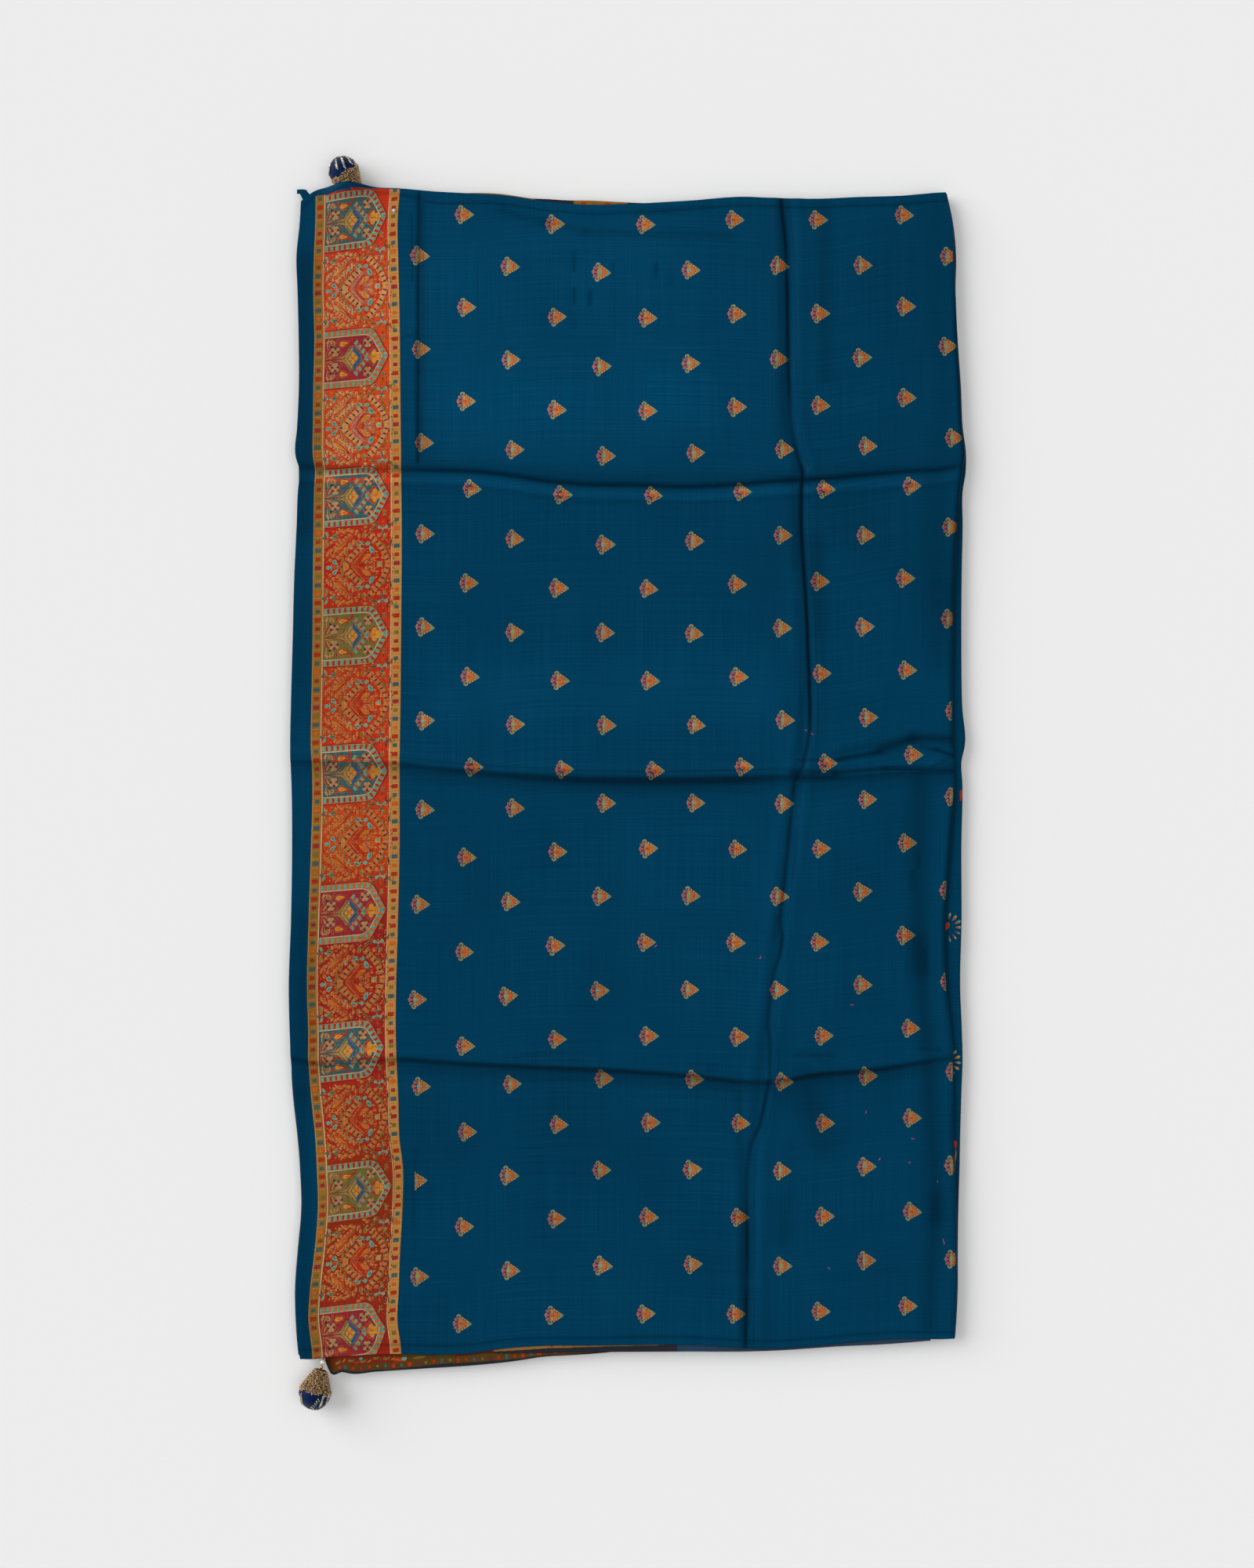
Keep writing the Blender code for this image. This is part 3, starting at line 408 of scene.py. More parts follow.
def hemmed(grids, sides, turn=7.0):
    # Adds the rounded edge of a hem and the strip of cloth turned under along each side
    # asked for: half a ring from the upper face down to the underside, then a short leg.
    half = layout["wall"] / 2
    for side in sides:
        axis, end, outX, outY = hemSides[side]
        x, y, z = (np.take(g, end, axis) for g in grids)
        x, y = x - outX * half, y - outY * half
        rings = [(x + outX * half * np.sin(a), y + outY * half * np.sin(a), z - half * (1 - np.cos(a)))
                 for a in np.linspace(0, np.pi, 7)[1:]]
        rings += [(x - outX * turn * share, y - outY * turn * share, z - 2 * half) for share in (0.35, 1.0)]
        rims = [np.stack(parts if end else parts[::-1], axis) for parts in zip(*rings)]
        grids = [np.concatenate((g, rim) if end else (rim, g), axis) for g, rim in zip(grids, rims)]
    return grids


def alongCloth(x, y, z):
    # Distance along the cloth on both of its directions, measured on the grid itself
    stepU, stepV = (np.sqrt(sum(np.diff(g, axis=axis) ** 2 for g in (x, y, z))) for axis in (1, 0))
    u = np.pad(np.cumsum(stepU, axis=1), ((0, 0), (1, 0)))
    v = np.pad(np.cumsum(stepV, axis=0), ((1, 0), (0, 0)))
    return u + x[:, :1], v + y[0, x.shape[1] // 2]


def fillSockets(tree, node, values):
    # Each input takes another node's output, or a number, vector or colour of its own
    for key, value in values.items():
        socket = node.inputs[key]
        if isinstance(value, bpy.types.NodeSocket):
            tree.links.new(value, socket)
        else:
            socket.default_value = (*value, 1.0) if socket.type == "RGBA" else value
    return node


def addNode(tree, kind, values, **settings):
    node = tree.nodes.new("ShaderNode" + kind)
    for key, value in settings.items():
        setattr(node, key, value)
    return fillSockets(tree, node, values)


def mathNode(tree, operation, *values):
    return addNode(tree, "Math", dict(enumerate(values)), operation=operation).outputs[0]


def mixNode(tree, factor, a, b, blend="MIX"):
    return addNode(tree, "Mix", {0: factor, 6: a, 7: b}, data_type="RGBA", blend_type=blend).outputs[2]


def rangeNode(tree, value, toMin, toMax, fromMin=0.0, fromMax=1.0):
    values = {"Value": value, "From Min": fromMin, "From Max": fromMax, "To Min": toMin, "To Max": toMax}
    return addNode(tree, "MapRange", values).outputs[0]


def noiseNode(tree, vector, scaleX, scaleY, detail=3.0):
    # Noise read on coordinates stretched by the two scales, so streaks run along one thread
    stretched = addNode(tree, "Mapping", {"Vector": vector, "Scale": (scaleX, scaleY, 1.0)}).outputs[0]
    values = {"Vector": stretched, "Scale": 1.0, "Detail": detail, "Roughness": 0.5}
    return addNode(tree, "TexNoise", values).outputs["Fac"]


def buildSilkWeave():
    # Plain silk: threads of uneven thickness both ways. Streak is the lightness of the
    # threads round 0.5, Height is the weave with its slubs, Patch is a slow change.
    group = bpy.data.node_groups.new("silkWeave", "ShaderNodeTree")
    for label, way, kind in (("Vector", "INPUT", "Vector"), ("Threads", "INPUT", "Float"),
                             ("Streak", "OUTPUT", "Float"), ("Height", "OUTPUT", "Float"),
                             ("Patch", "OUTPUT", "Float")):
        group.interface.new_socket(name=label, in_out=way, socket_type="NodeSocket" + kind)
    start, end = (group.nodes.new(kind) for kind in ("NodeGroupInput", "NodeGroupOutput"))
    vector, count = start.outputs["Vector"], start.outputs["Threads"]
    warp = noiseNode(group, vector, 900.0, 9.0)
    weft = noiseNode(group, vector, 7.0, 800.0)
    slub = noiseNode(group, vector, 30.0, 1500.0, 2.0)
    patch = noiseNode(group, vector, 9.0, 7.0, 4.0)
    both = mathNode(group, "ADD", mathNode(group, "MULTIPLY", warp, 0.45),
                    mathNode(group, "MULTIPLY", weft, 0.55))
    threads = []
    for across in addNode(group, "SeparateXYZ", {0: vector}).outputs[:2]:
        turn = mathNode(group, "MULTIPLY", across, count)
        threads.append(mathNode(group, "SINE", mathNode(group, "MULTIPLY", turn, 2 * math.pi)))
    weave = mathNode(group, "MULTIPLY", *threads)
    height = mathNode(group, "ADD", mathNode(group, "MULTIPLY", weave, 0.18),
                      mathNode(group, "ADD", mathNode(group, "MULTIPLY", slub, 0.9), both))
    fillSockets(group, end, {"Streak": both, "Height": height, "Patch": patch})
    return group


silkWeave = buildSilkWeave()


def linear(colour):
    # A colour read off the photo on the 0 to 255 scale, as the linear light Blender mixes
    return tuple((c / 255 / 12.92) if c <= 10 else ((c / 255 + 0.055) / 1.055) ** 2.4 for c in colour)


def newMaterial(name):
    mat = bpy.data.materials.new(name)
    mat.use_nodes = True
    return mat, mat.node_tree, mat.node_tree.nodes["Principled BSDF"]


def clothMaterial(name, settings, deep=None, light=None):
    # Cloth whose colour runs from deep to light with the threads, or without them is the
    # woven tint held in the mesh, lightened and darkened by the same threads.
    s = settings
    mat, tree, shader = newMaterial(name)
    coords = addNode(tree, "UVMap", {}, uv_map="clothMap").outputs[0]
    weave = addNode(tree, "Group", {"Threads": s["threads"], "Vector": coords}, node_tree=silkWeave).outputs
    streak = rangeNode(tree, weave["Streak"], 0.0, 1.0, 0.32, 0.68)
    if deep:
        base = mixNode(tree, streak, linear(deep), linear(light))
    else:
        woven = addNode(tree, "Attribute", {}, attribute_name="threadTint").outputs["Color"]
        base = mixNode(tree, 1.0, woven, rangeNode(tree, streak, s["dark"], s["bright"]), "MULTIPLY")
    patch = rangeNode(tree, weave["Patch"], s["patchDark"], s["patchLight"], 0.3, 0.7)
    # foldShade is painted shade and sheen of the folds, hems and patches, multiplied into the colour
    folds = addNode(tree, "Attribute", {}, attribute_name="foldShade").outputs["Fac"]
    patched = mixNode(tree, 1.0, base, patch, "MULTIPLY")
    bump = {"Strength": s["bump"], "Distance": s["bumpDepth"], "Height": weave["Height"]}
    fillSockets(tree, shader, {
        "Base Color": mixNode(tree, 1.0, patched, folds, "MULTIPLY"),
        "Roughness": rangeNode(tree, weave["Streak"], *s["rough"]),
        "Normal": addNode(tree, "Bump", bump).outputs[0],
        "Specular IOR Level": s["specular"], "Specular Tint": linear(s["glossTint"]),
        "Sheen Weight": s["sheen"], "Sheen Roughness": 0.45, "Sheen Tint": linear(s["sheenTint"]),
    })
    return mat


silkSettings = {
    "threads": 2200.0, "rough": (0.42, 0.58), "bump": 0.35, "bumpDepth": 0.00012,
    "specular": 0.30, "glossTint": (30, 150, 210), "sheen": 0.03, "sheenTint": (30, 120, 170),
    "patchDark": 0.90, "patchLight": 1.10, "dark": 0.8, "bright": 1.15,
}
bandSettings = dict(silkSettings, rough=(0.42, 0.62), bump=0.5, sheen=0.03, specular=0.25,
                    glossTint=(250, 190, 110), sheenTint=(240, 190, 120), dark=0.78, bright=1.2,
                    threads=1500.0)
threadSettings = dict(bandSettings, bump=0.6, patchDark=0.85, patchLight=1.12, threads=1900.0)
tealSilk = clothMaterial("tealSilk", silkSettings, (0, 43, 67), (2, 55, 82))
# a darker copy of the same silk, painted shade for the lower fold at the right
shadedSilk = clothMaterial("shadedSilk", silkSettings, (0, 40, 62), (1, 53, 79))
brocadeGround = clothMaterial("brocadeGround", bandSettings)


def finishPiece(piece, material, nodes):
    piece.data.materials.append(material)
    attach(piece, "root")
    if nodes:
        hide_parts(*nodes)
    return piece


def clothSheet(name, grids, material, node, colour=None, shade=None):
    # A finished sheet of cloth from the x, y and z of its grid, rows by columns, in mm
    u, v = (g.ravel() for g in alongCloth(*grids))
    points = np.stack(grids, axis=2).reshape(-1, 3)
    piece = quadMesh(name, points, gridQuads(*grids[0].shape), u, v, colour, shade)
    return finishPiece(piece, material, [node])


print("top layer: ground")
bodyColumns = (
    ("bandRight", 0.1, "bandRight", 12.0, 5),
    ("bandRight", 12.0, "bandRight", 22.0, 13),
    ("bandRight", 22.0, "longCrease", -16.0, 90),
    ("longCrease", -16.0, "longCrease", 16.0, 30),
    ("longCrease", 16.0, "topFold", -20.0, 37),
    ("topFold", -20.0, "topFold", -1.5, 10),
)


def foldUnder(grids, lowFace, leg, foldSteps=8, legSteps=3):
    # The cloth turns under at its right: half an oval from the upper face down to the
    # level of the returning leg, then the leg, which runs back inside.
    x, y, z = (g[:, -1] for g in grids)
    half = (z - lowFace) / 2
    strips = [(x + 1.5 * np.cos(a), y, z - half + half * np.sin(a))
              for a in np.linspace(np.pi / 2, -np.pi / 2, foldSteps + 1)[1:]]
    strips += [(x - leg * share, y, np.full_like(z, lowFace))
               for share in np.linspace(0, 1, legSteps + 1)[1:]]
    return [np.column_stack((g, *strip)) for g, strip in zip(grids, zip(*strips))]


def makeBody():
    x, y = crossPoints(bodyColumns)
    low = layout["topFace"] - 2 * (layout["wall"] + layout["gap"])
    grids = hemmed(foldUnder((x, y, topHeight(x, y)), low, layout["foldLeg"]), ("bottom", "top"))
    return clothSheet("groundCloth", grids, tealSilk, "body_stretch", None, shadeAt(*grids[:2]))


groundCloth = makeBody()

print("top layer: band and end strip")
bandLayout = {
    "width": 84.0,
    "leftStrip": 9.0,
    "rightStrip": 74.4,
    "panelY": (547.5, 413.0, 277.1, 142.7, 10.4, -123.8, -254.4, -393.0, -533.0),
    "panelColour": ("teal", "magenta", "teal", "olive", "teal", "magenta", "teal", "olive", "magenta"),
    "tilt": ((-560, -395, -255, -124, 10, 143, 277, 414, 480, 550),
             (10.4, 11.1, 9.6, 7.8, 6.2, 6.2, 6.6, 7.4, 9.0, 12.4)),
}
# How far the weave has drifted along the band, at heights up it: in the left strip, between
# the strips and in the right strip
weaveDrift = table("""
    560 -0.8 -1.5 -3.2; 532 -0.8 -1.4 -3; 465 -0.8 -0.2 -2.3; 398 -0.8 -0.6 -1.5; 331 0.2 1.4 0;
    264 2.2 1.2 1.5; 197 2.3 1.5 1.5; 131 2.2 0.8 1.5; 64 1.5 0.6 2.2; -3 0.8 0.1 1.5; -70 0 0.7 0.8;
    -137 -0.8 -0.6 0; -203 -1.5 -3.1 -0.8; -270 -3 -3.8 -3.8; -337 -3.8 -0.6 -4.6; -404 -2.4 0.2 -2.4;
    -471 -2.3 1.8 -3; -560 -2.3 1.8 -3
""")
bandThreads = {
    "amber": (178, 52, 26), "orange": (182, 60, 22), "red": (152, 14, 16), "redOrange": (170, 38, 20),
    "lowOrange": (170, 52, 16), "lowRed": (138, 16, 20), "lowAmber": (144, 28, 16),
    "lastOrange": (126, 30, 14), "oldGold": (134, 90, 32), "paleGold": (168, 116, 56),
}
groundStops = {
    "y": (600, 550, 484.4, 413.8, 345.5, 277.1, 212.6, 142.7, 75.9, 9.9, -56.9, -123.8, -189.8,
          -254.4, -325.0, -394.8, -463.2, -560),
    "thread": ("redOrange", "redOrange", "amber", "orange", "orange", "redOrange", "red", "redOrange",
               "redOrange", "redOrange", "lowOrange", "lowRed", "lowRed", "lowRed", "lowAmber",
               "lastOrange", "lastOrange", "lowRed"),
}


def bandTint(u, v):
    # Ground colour along the band between the listed stops, and gold in the two edge strips.
    stops = np.array([linear(bandThreads[n]) for n in groundStops["thread"]])
    colour = np.stack([softLine(groundStops["y"], stops[:, k], v) for k in range(3)], axis=-1)
    for inStrip, name in ((u < bandLayout["leftStrip"], "oldGold"),
                          (u > bandLayout["rightStrip"], "paleGold")):
        colour = np.where(inStrip[..., None], np.array(linear(bandThreads[name])), colour)
    return np.clip(colour, 0.0, 1.0)


def makeBand():
    columns = (("bandLeft", 0.0, "bandLeft", 8.9, 7), ("bandLeft", 8.9, "bandLeft", 9.05, 1),
               ("bandLeft", 9.05, "bandRight", -9.7, 46), ("bandRight", -9.7, "bandRight", -9.55, 1),
               ("bandRight", -9.55, "bandRight", 0.0, 7))
    rows = (*topRows[:-1], ("top", -18.0, "bandHem", 0.0, 18), ("bandHem", 0.0, "top", 0.0, 8))
    x, y = crossPoints(columns, rows)
    x, y, z = hemmed((x, y, topHeight(x, y)), ("bottom", "top"))
    left, right = sideX("bandLeft", y), sideX("bandRight", y)
    across = (x - left) / (right - left) * bandLayout["width"]
    quads = gridQuads(*x.shape)
    inHem = (y - crossY("bandHem", x)).ravel()[quads].mean(axis=1) > 0.0
    cloth = (np.stack([x, y, z], axis=2), *alongCloth(x, y, z), bandTint(across, y), shadeAt(x, y))
    band = partMesh("bandCloth", quads[~inHem], *cloth)
    hem = partMesh("bandHemCloth", quads[inHem], *cloth)
    return (finishPiece(band, brocadeGround, ["woven_band"]),
            finishPiece(hem, tealSilk, []))


def makeEndStrip():
    x, y = crossPoints((("left", 0.6, "left", 4.0, 5), ("left", 4.0, "bandLeft", -0.1, 12)))
    grids = hemmed((x, y, topHeight(x, y)), ("bottom", "top", "left"), turn=5.0)
    return clothSheet("endStrip", grids, tealSilk, "end_strip", None, shadeAt(*grids[:2]))


bandCloth, bandHemCloth = makeBand()
endStrip = makeEndStrip()

print("thread work")
# Each thread's deep and light ends
threadColours = {name: (ends[:3], ends[3:]) for name, *ends in table("""
    gold 124 84 42 192 142 86; oldGold 106 74 24 152 108 46; cream 136 116 86 196 172 132;
    red 116 18 12 172 44 26; orange 152 62 20 198 96 38; amber 142 70 18 184 106 36;
    yellow 156 92 22 206 142 54; pink 132 50 48 182 90 78; magenta 106 16 36 148 34 54;
    purple 62 16 42 102 36 66; turquoise 46 106 100 96 160 144; tealThread 24 62 70 54 92 94;
    blue 16 52 84 38 84 118; olive 78 72 32 112 104 54; rust 96 32 14 142 60 30; ink 6 28 42 12 46 64;
    sand 112 88 58 164 132 88; coral 132 60 34 184 92 50; mauve 88 52 66 134 86 98;
    mint 66 92 78 116 130 98; plum 54 26 38 84 44 52; maroon 58 8 18 88 16 26
""")}
strokeLift = {"clear": 0.10, "level": 0.07, "dome": 0.14}

# widths along a stroke from its start at 0 to its end at 1, and how many steps it takes
strokeShapes = {
    "leaf": (6, lambda t: np.sin(np.pi * np.clip(t, 0.0, 1.0)) ** 0.8),
    "drop": (7, lambda t: np.where(t < 0.64, (t / 0.64) ** 0.85,
                                   np.sqrt(np.clip(1 - ((t - 0.64) / 0.36) ** 2, 0, 1)))),
    "bar": (1, lambda t: np.ones_like(t)),
    "line": (8, lambda t: np.minimum(1.0, 0.35 + 4 * t) * (1.0 - 0.6 * t)),
    "curl": (14, lambda t: np.minimum(1.0, 0.35 + 5 * t) * (1.0 - 0.55 * t)),
}


def direction(degrees):
    return math.cos(math.radians(degrees)), math.sin(math.radians(degrees))


def strokeSpine(x, y, length, turn, bend, steps):
    # A line of equal steps whose heading swings by the bend on its way; positive bends left
    middles = (np.arange(steps) + 0.5) / steps - 0.5
    heading = np.radians(turn + bend * middles)
    stepsXY = np.stack([np.cos(heading), np.sin(heading)], axis=1) * length / steps
    return np.concatenate([[[x, y]], [x, y] + np.cumsum(stepsXY, axis=0)])


def ribbonShape(spine, widths, dome):
    # Two edges half a width aside of the spine, and the spine itself raised by the dome
    step = np.gradient(spine, axis=0)
    step = step / np.maximum(np.linalg.norm(step, axis=1, keepdims=True), 1e-9)
    aside = np.stack([-step[:, 1], step[:, 0]], axis=1) * widths[:, None] / 2
    count = len(spine)
    points = np.concatenate([spine + aside, spine, spine - aside])
    middle = dome * np.sqrt(widths / max(widths.max(), 1e-9))
    lift = np.concatenate([np.zeros(count), middle, np.zeros(count)])
    k = np.arange(count - 1)
    faces = []
    for a in (0, count):
        faces.append(np.stack([a + k, a + count + k, a + k + 1], axis=1))
        faces.append(np.stack([a + k + 1, a + count + k, a + count + k + 1], axis=1))
    return points, lift, np.concatenate(faces)


def filledShape(outline, dome):
    # A fan from the middle of a closed outline, with one inner ring, raised by the dome
    count = len(outline)
    middle = outline.mean(axis=0)
    points = np.concatenate([outline, middle + (outline - middle) * 0.7, middle[None]])
    lift = np.concatenate([np.zeros(count), np.full(count, dome * 0.8), [dome]])
    k = np.arange(count)
    m = (k + 1) % count
    faces = [np.stack([k, m, count + m], axis=1), np.stack([k, count + m, count + k], axis=1),
             np.stack([count + k, count + m, np.full(count, 2 * count)], axis=1)]
    return points, lift, np.concatenate(faces)


def ovalOutline(x, y, length, width, turn, steps):
    a = np.arange(steps) / steps * 2 * np.pi
    c, s = direction(turn)
    ox, oy = np.cos(a) * length / 2, np.sin(a) * width / 2
    return np.stack([x + c * ox - s * oy, y + s * ox + c * oy], axis=1)


def oneStroke(shape, x, y, length, width, turn, bend):
    if shape == "disc":
        return filledShape(ovalOutline(x, y, length, width, turn, 10), strokeLift["dome"])
    steps, profile = strokeShapes[shape]
    if shape == "bar":
        steps = max(1, int(round(length / 3.0)))
    spine = strokeSpine(x, y, length, turn, bend, steps)
    if shape == "curl":
        t = np.linspace(0.03, 1, steps)
        heading = np.radians(turn + bend * t ** 1.6)
        hops = np.stack([np.cos(heading), np.sin(heading)], axis=1)
        hops = hops * (length / steps * (1.3 - 0.6 * t))[:, None]
        spine = np.concatenate([[[x, y]], [x, y] + np.cumsum(hops, axis=0)])
    widths = width * profile(np.linspace(0, 1, steps + 1))
    return ribbonShape(spine, widths, strokeLift["dome"] * (0.4 if shape == "bar" else 1.0))


haloSettings = {"least": 2.6, "shapes": ("drop", "disc", "leaf", "bar")}


def buildMotif(rows, halo=None, grow=0.0):
    # Rows of (thread, shape, x, y, length, width, turn, bend, mirrored, level) as one set of
    # points and triangles for each thread. A mirrored row is drawn again with y turned over.
    # A halo thread puts a larger copy of each fuller stroke under it, as an outline.
    motif = {}
    for thread, shape, x, y, length, width, turn, bend, mirrored, level in rows:
        drawn = [(thread, x, y, length, width, level)]
        if halo and thread != halo and shape in haloSettings["shapes"] and length > haloSettings["least"]:
            back = 0.0 if shape == "disc" else grow / 2
            c, s = direction(turn)
            drawn.append((halo, x - c * back, y - s * back, length + grow, width + grow, level - 0.6))
        for name, px, py, long, wide, high in drawn:
            points, lift, faces = oneStroke(shape, px, py, long, wide, turn, bend)
            lift = lift + high * strokeLift["level"]
            motif.setdefault(name, []).append((points, lift, faces))
            if mirrored:
                motif[name].append((points * (1, -1), lift, faces[:, ::-1]))
    return {thread: joinParts(parts) for thread, parts in motif.items()}


def joinParts(parts):
    starts = np.cumsum([0] + [len(p[0]) for p in parts[:-1]])
    return (np.concatenate([p[0] for p in parts]), np.concatenate([p[1] for p in parts]),
            np.concatenate([p[2] + s for p, s in zip(parts, starts)]))


def copyMotif(store, motif, places, onBand=False):
    # Copies a motif to each (x, y, turn in degrees, scale) and keeps the flat result by thread
    px, py, turn, scale = np.asarray(places, float).T[..., None]
    c, s = np.cos(np.radians(turn)), np.sin(np.radians(turn))
    for thread, (points, lift, faces) in motif.items():
        x = px + scale * (c * points[:, 0] - s * points[:, 1])
        y = py + scale * (s * points[:, 0] + c * points[:, 1])
        if onBand:
            x, y = bandPoint(x, y)
        many = faces[None] + (np.arange(len(px)) * len(points))[:, None, None]
        flat = np.stack([x.ravel(), y.ravel()], axis=1)
        store.setdefault(thread, []).append((flat, np.tile(lift, len(px)), many.reshape(-1, 3)))


def layThreads(name, store, limits, surface, shade=None):
    # One piece for each thread: points are held inside the limits, which flattens what runs
    # past a fold or a hem to nothing, and such faces are then left out.
    pieces = []
    for thread, parts in store.items():
        points, lift, faces = joinParts(parts)
        x, y = points.T
        for turn in range(2):
            x = np.clip(x, *limits["x"](x, y))
            y = np.clip(y, *limits["y"](x, y))
        a, b, c = (np.stack([x[corner], y[corner]], axis=1) for corner in faces.T)
        used, faces = usedOnly(faces[np.cross(b - a, c - a) > 0.004])
        x, y = x[used], y[used]
        points = np.stack([x, y, surface(x, y) + strokeLift["clear"] + lift[used]], axis=1)
        # painted shade of the cloth's folds, laid on the threads as well
        light = shade(x, y) if shade else None
        piece = quadMesh(name + thread[0].upper() + thread[1:], points, faces, x, y, None, light)
        pieces.append(finishPiece(piece, threadMaterials[thread], []))
    return pieces


threadMaterials = {name: clothMaterial(name + "Thread", threadSettings, *ends)
                   for name, ends in threadColours.items()}

print("butti motifs on the ground")
# Columns: thread, shape, x, y, length, width, turn, bend, mirrored, level
buttiRing = table("""
    sand drop 9.9 0 14.6 12.6 180 0 0 -0.6; sand drop -2.8 3.4 6.2 4.8 102 0 1 -0.4;
    mint drop -3.2 4.2 4.9 3.4 102 0 1 0.6; ink disc -4 6.6 1.9 1.4 100 0 1 2;
    mint leaf -2.6 7.9 8.6 1.1 -34 8 1 1; mint leaf 3 4.4 6.6 0.9 -33 6 1 1;
    mint leaf 4.9 0 4.9 1.9 0 0 0 2; mauve drop -3.2 0 6.6 3.6 180 0 0 0;
    mauve drop -3.4 2.2 5.4 3.6 148 0 1 0; pink leaf -5 0 4.4 1.5 180 0 0 2;
    pink leaf -5 3.2 3.2 1.3 148 0 1 2; plum disc -5.9 1.6 1.3 0.9 160 0 1 2;
    coral drop -1 2 3.8 1.8 70 0 1 1; coral drop -0.2 1.6 4 1.7 40 0 1 1;
    coral drop 0.8 0.6 3.9 1.5 16 0 1 1; amber leaf -0.8 2.2 4.6 1 55 0 1 2;
    amber leaf 0.4 1.2 5 1 28 0 1 2; amber leaf 0.8 0 4.6 1.1 0 0 0 2; rust disc -1.1 5.9 1.4 1.1 80 0 1 2;
    rust disc 1.3 4.6 1.5 1.2 55 0 1 2; rust disc 3.5 2.9 1.4 1.1 38 0 1 2;
    rust disc 4.9 1.3 1.2 0.9 20 0 1 2; cream disc 0.2 6 1.3 1 60 0 1 2; cream disc 2.6 4.3 1.3 1 40 0 1 2;
    cream disc 4.9 2.7 1.2 0.9 30 0 1 2; cream leaf -8.4 0.9 1.9 0.7 60 0 1 2
""")
buttiCentres = (
    table("coral disc -1.6 0 5.2 3.6 0 0 0 3; red leaf -3.8 0 5 1.1 0 0 0 4"),
    table("sand disc -1.6 0 4.6 4.4 0 0 0 3; turquoise disc -1.7 0 3.2 3 0 0 0 4; "
          "coral drop 0.8 0 3.2 1.5 0 0 0 4"),
)
# Rows of buttis as they lie: the row's shift and stretch to the right, then its y at each
# of its columns; even rows take the odd columns
buttiRows = table("""
    -1.1 -0.003 551.3 542.1 541.6 546.4 546.2 550.9; -0.4 0.002 511.4 500.9 495.3 497.6 501.5 502.1 510.9;
    0.9 -0.004 461.4 452.1 451.1 455.1 455.5 462.2; -0.4 -0.003 420.8 410.6 404.2 407.1 411.1 412.7 423.9;
    1 -0.002 370.4 362.3 361.2 364.9 366.4 373.9; 4.2 0.003 330.4 323.6 317.6 320.5 324 327.2 335.2;
    6.4 -0.004 285.7 279.9 279.3 282.7 285.2 288.4; 3.2 -0.003 242.2 237.2 231.8 235.2 240.7 240.8 248.8;
    1.7 -0.011 194.6 189.7 188.9 193.4 195.9 199.1; 2.7 -0.005 151.7 146.8 146.5 145.4 150.9 152.1 159.9;
    3.2 -0.009 103.9 100.1 99.8 103.7 106.9 110.2; 4.8 0.003 61.2 57.4 56.8 57.1 61.9 64.3 70.6;
    8 -0.004 16.2 14 12.8 16.5 20 28.2; 4.2 0.001 -24.8 -23.4 -18.6 -18.4 -19.2 -15.1 -12.6;
    1.7 -0.002 -71 -65.7 -62.6 -63.1 -62.7 -57.1; -0.4 0 -116.5 -114 -108.8 -108.3 -109 -104.2 -103.1;
    -0.2 0 -162.6 -156.7 -153.4 -153.6 -153.2 -146.6;
    -1.5 0.007 -208.7 -205.2 -200.2 -199.2 -199.5 -194.5 -191.3;
    2.7 0.009 -253.8 -247.2 -244 -244.9 -243.9 -236.6;
    3 0.01 -292.9 -290.6 -285.3 -285.7 -288.3 -282.7 -278.6;
    4.3 0.008 -336.9 -329.9 -327.8 -328.5 -328.5 -323.4;
    1 0.015 -384.2 -379.2 -373.8 -373.1 -374.8 -370.5 -369.2;
    2.9 0.015 -428.7 -421.1 -419.3 -419.6 -418.7 -414.1;
    1.6 0.011 -477.2 -471.2 -466.5 -465.2 -466.8 -461.5 -460.4;
    -0.3 0.01 -522.6 -514.5 -513 -513.2 -510.6 -505.5
""")
buttiColumns = (-200.1, -157.6, -112.8, -69.5, -24.7, 18.6, 61.9, 105.2, 147.7, 186.4, 228.2, 269.9, 311.7)


def buttiPlaces(parity):
    columns = np.array(buttiColumns[(parity + 1) % 2::2])
    places = np.concatenate([np.stack([columns + shift + stretch * (columns - 60.0), ys], axis=1)
                             for shift, stretch, *ys in buttiRows[parity::2]])
    drift = np.random.default_rng(7 + parity)
    turn = drift.normal(-1.0, 2.2, len(places))
    size = drift.normal(0.985, 0.018, len(places))
    return np.column_stack([places, turn, size])


groundLimits = {
    "x": lambda x, y: (sideX("bandRight", y) + 11.0, sideX("topFold", y) - 1.4),
    "y": lambda x, y: (crossY("bottom", x) + 0.5, crossY("top", x) - 0.5),
}


def makeButtis():
    store = {}
    for parity, centre in enumerate(buttiCentres):
        copyMotif(store, buildMotif(buttiRing + centre), buttiPlaces(parity))
    return layThreads("butti", store, groundLimits, topHeight, shadeAt)


buttiPieces = makeButtis()

print("band motifs")
arch = {
    "base": 10.6, "corner": 54.8, "cornerGrow": 0.5, "apex": 73.0, "fieldApex": 66.4,
    "outer": 28.4, "inner": 21.8, "dash": 2.1, "dashPitch": 5.35, "roundness": 7.0,
}


def bandPoint(u, v):
    # From the band's own measures, across from its left edge and along, to x and y
    at, *drifts = np.array(weaveDrift[::-1]).T
    left, middle, right = (np.interp(v, at, drift) for drift in drifts)
    drift = np.where(u < bandLayout["leftStrip"], left, np.where(u > bandLayout["rightStrip"], right, middle))
    y = v + drift + np.interp(v, *bandLayout["tilt"]) * (u / bandLayout["width"] - 0.5)
    left, right = sideX("bandLeft", y), sideX("bandRight", y)
    return left + (right - left) * u / bandLayout["width"], y


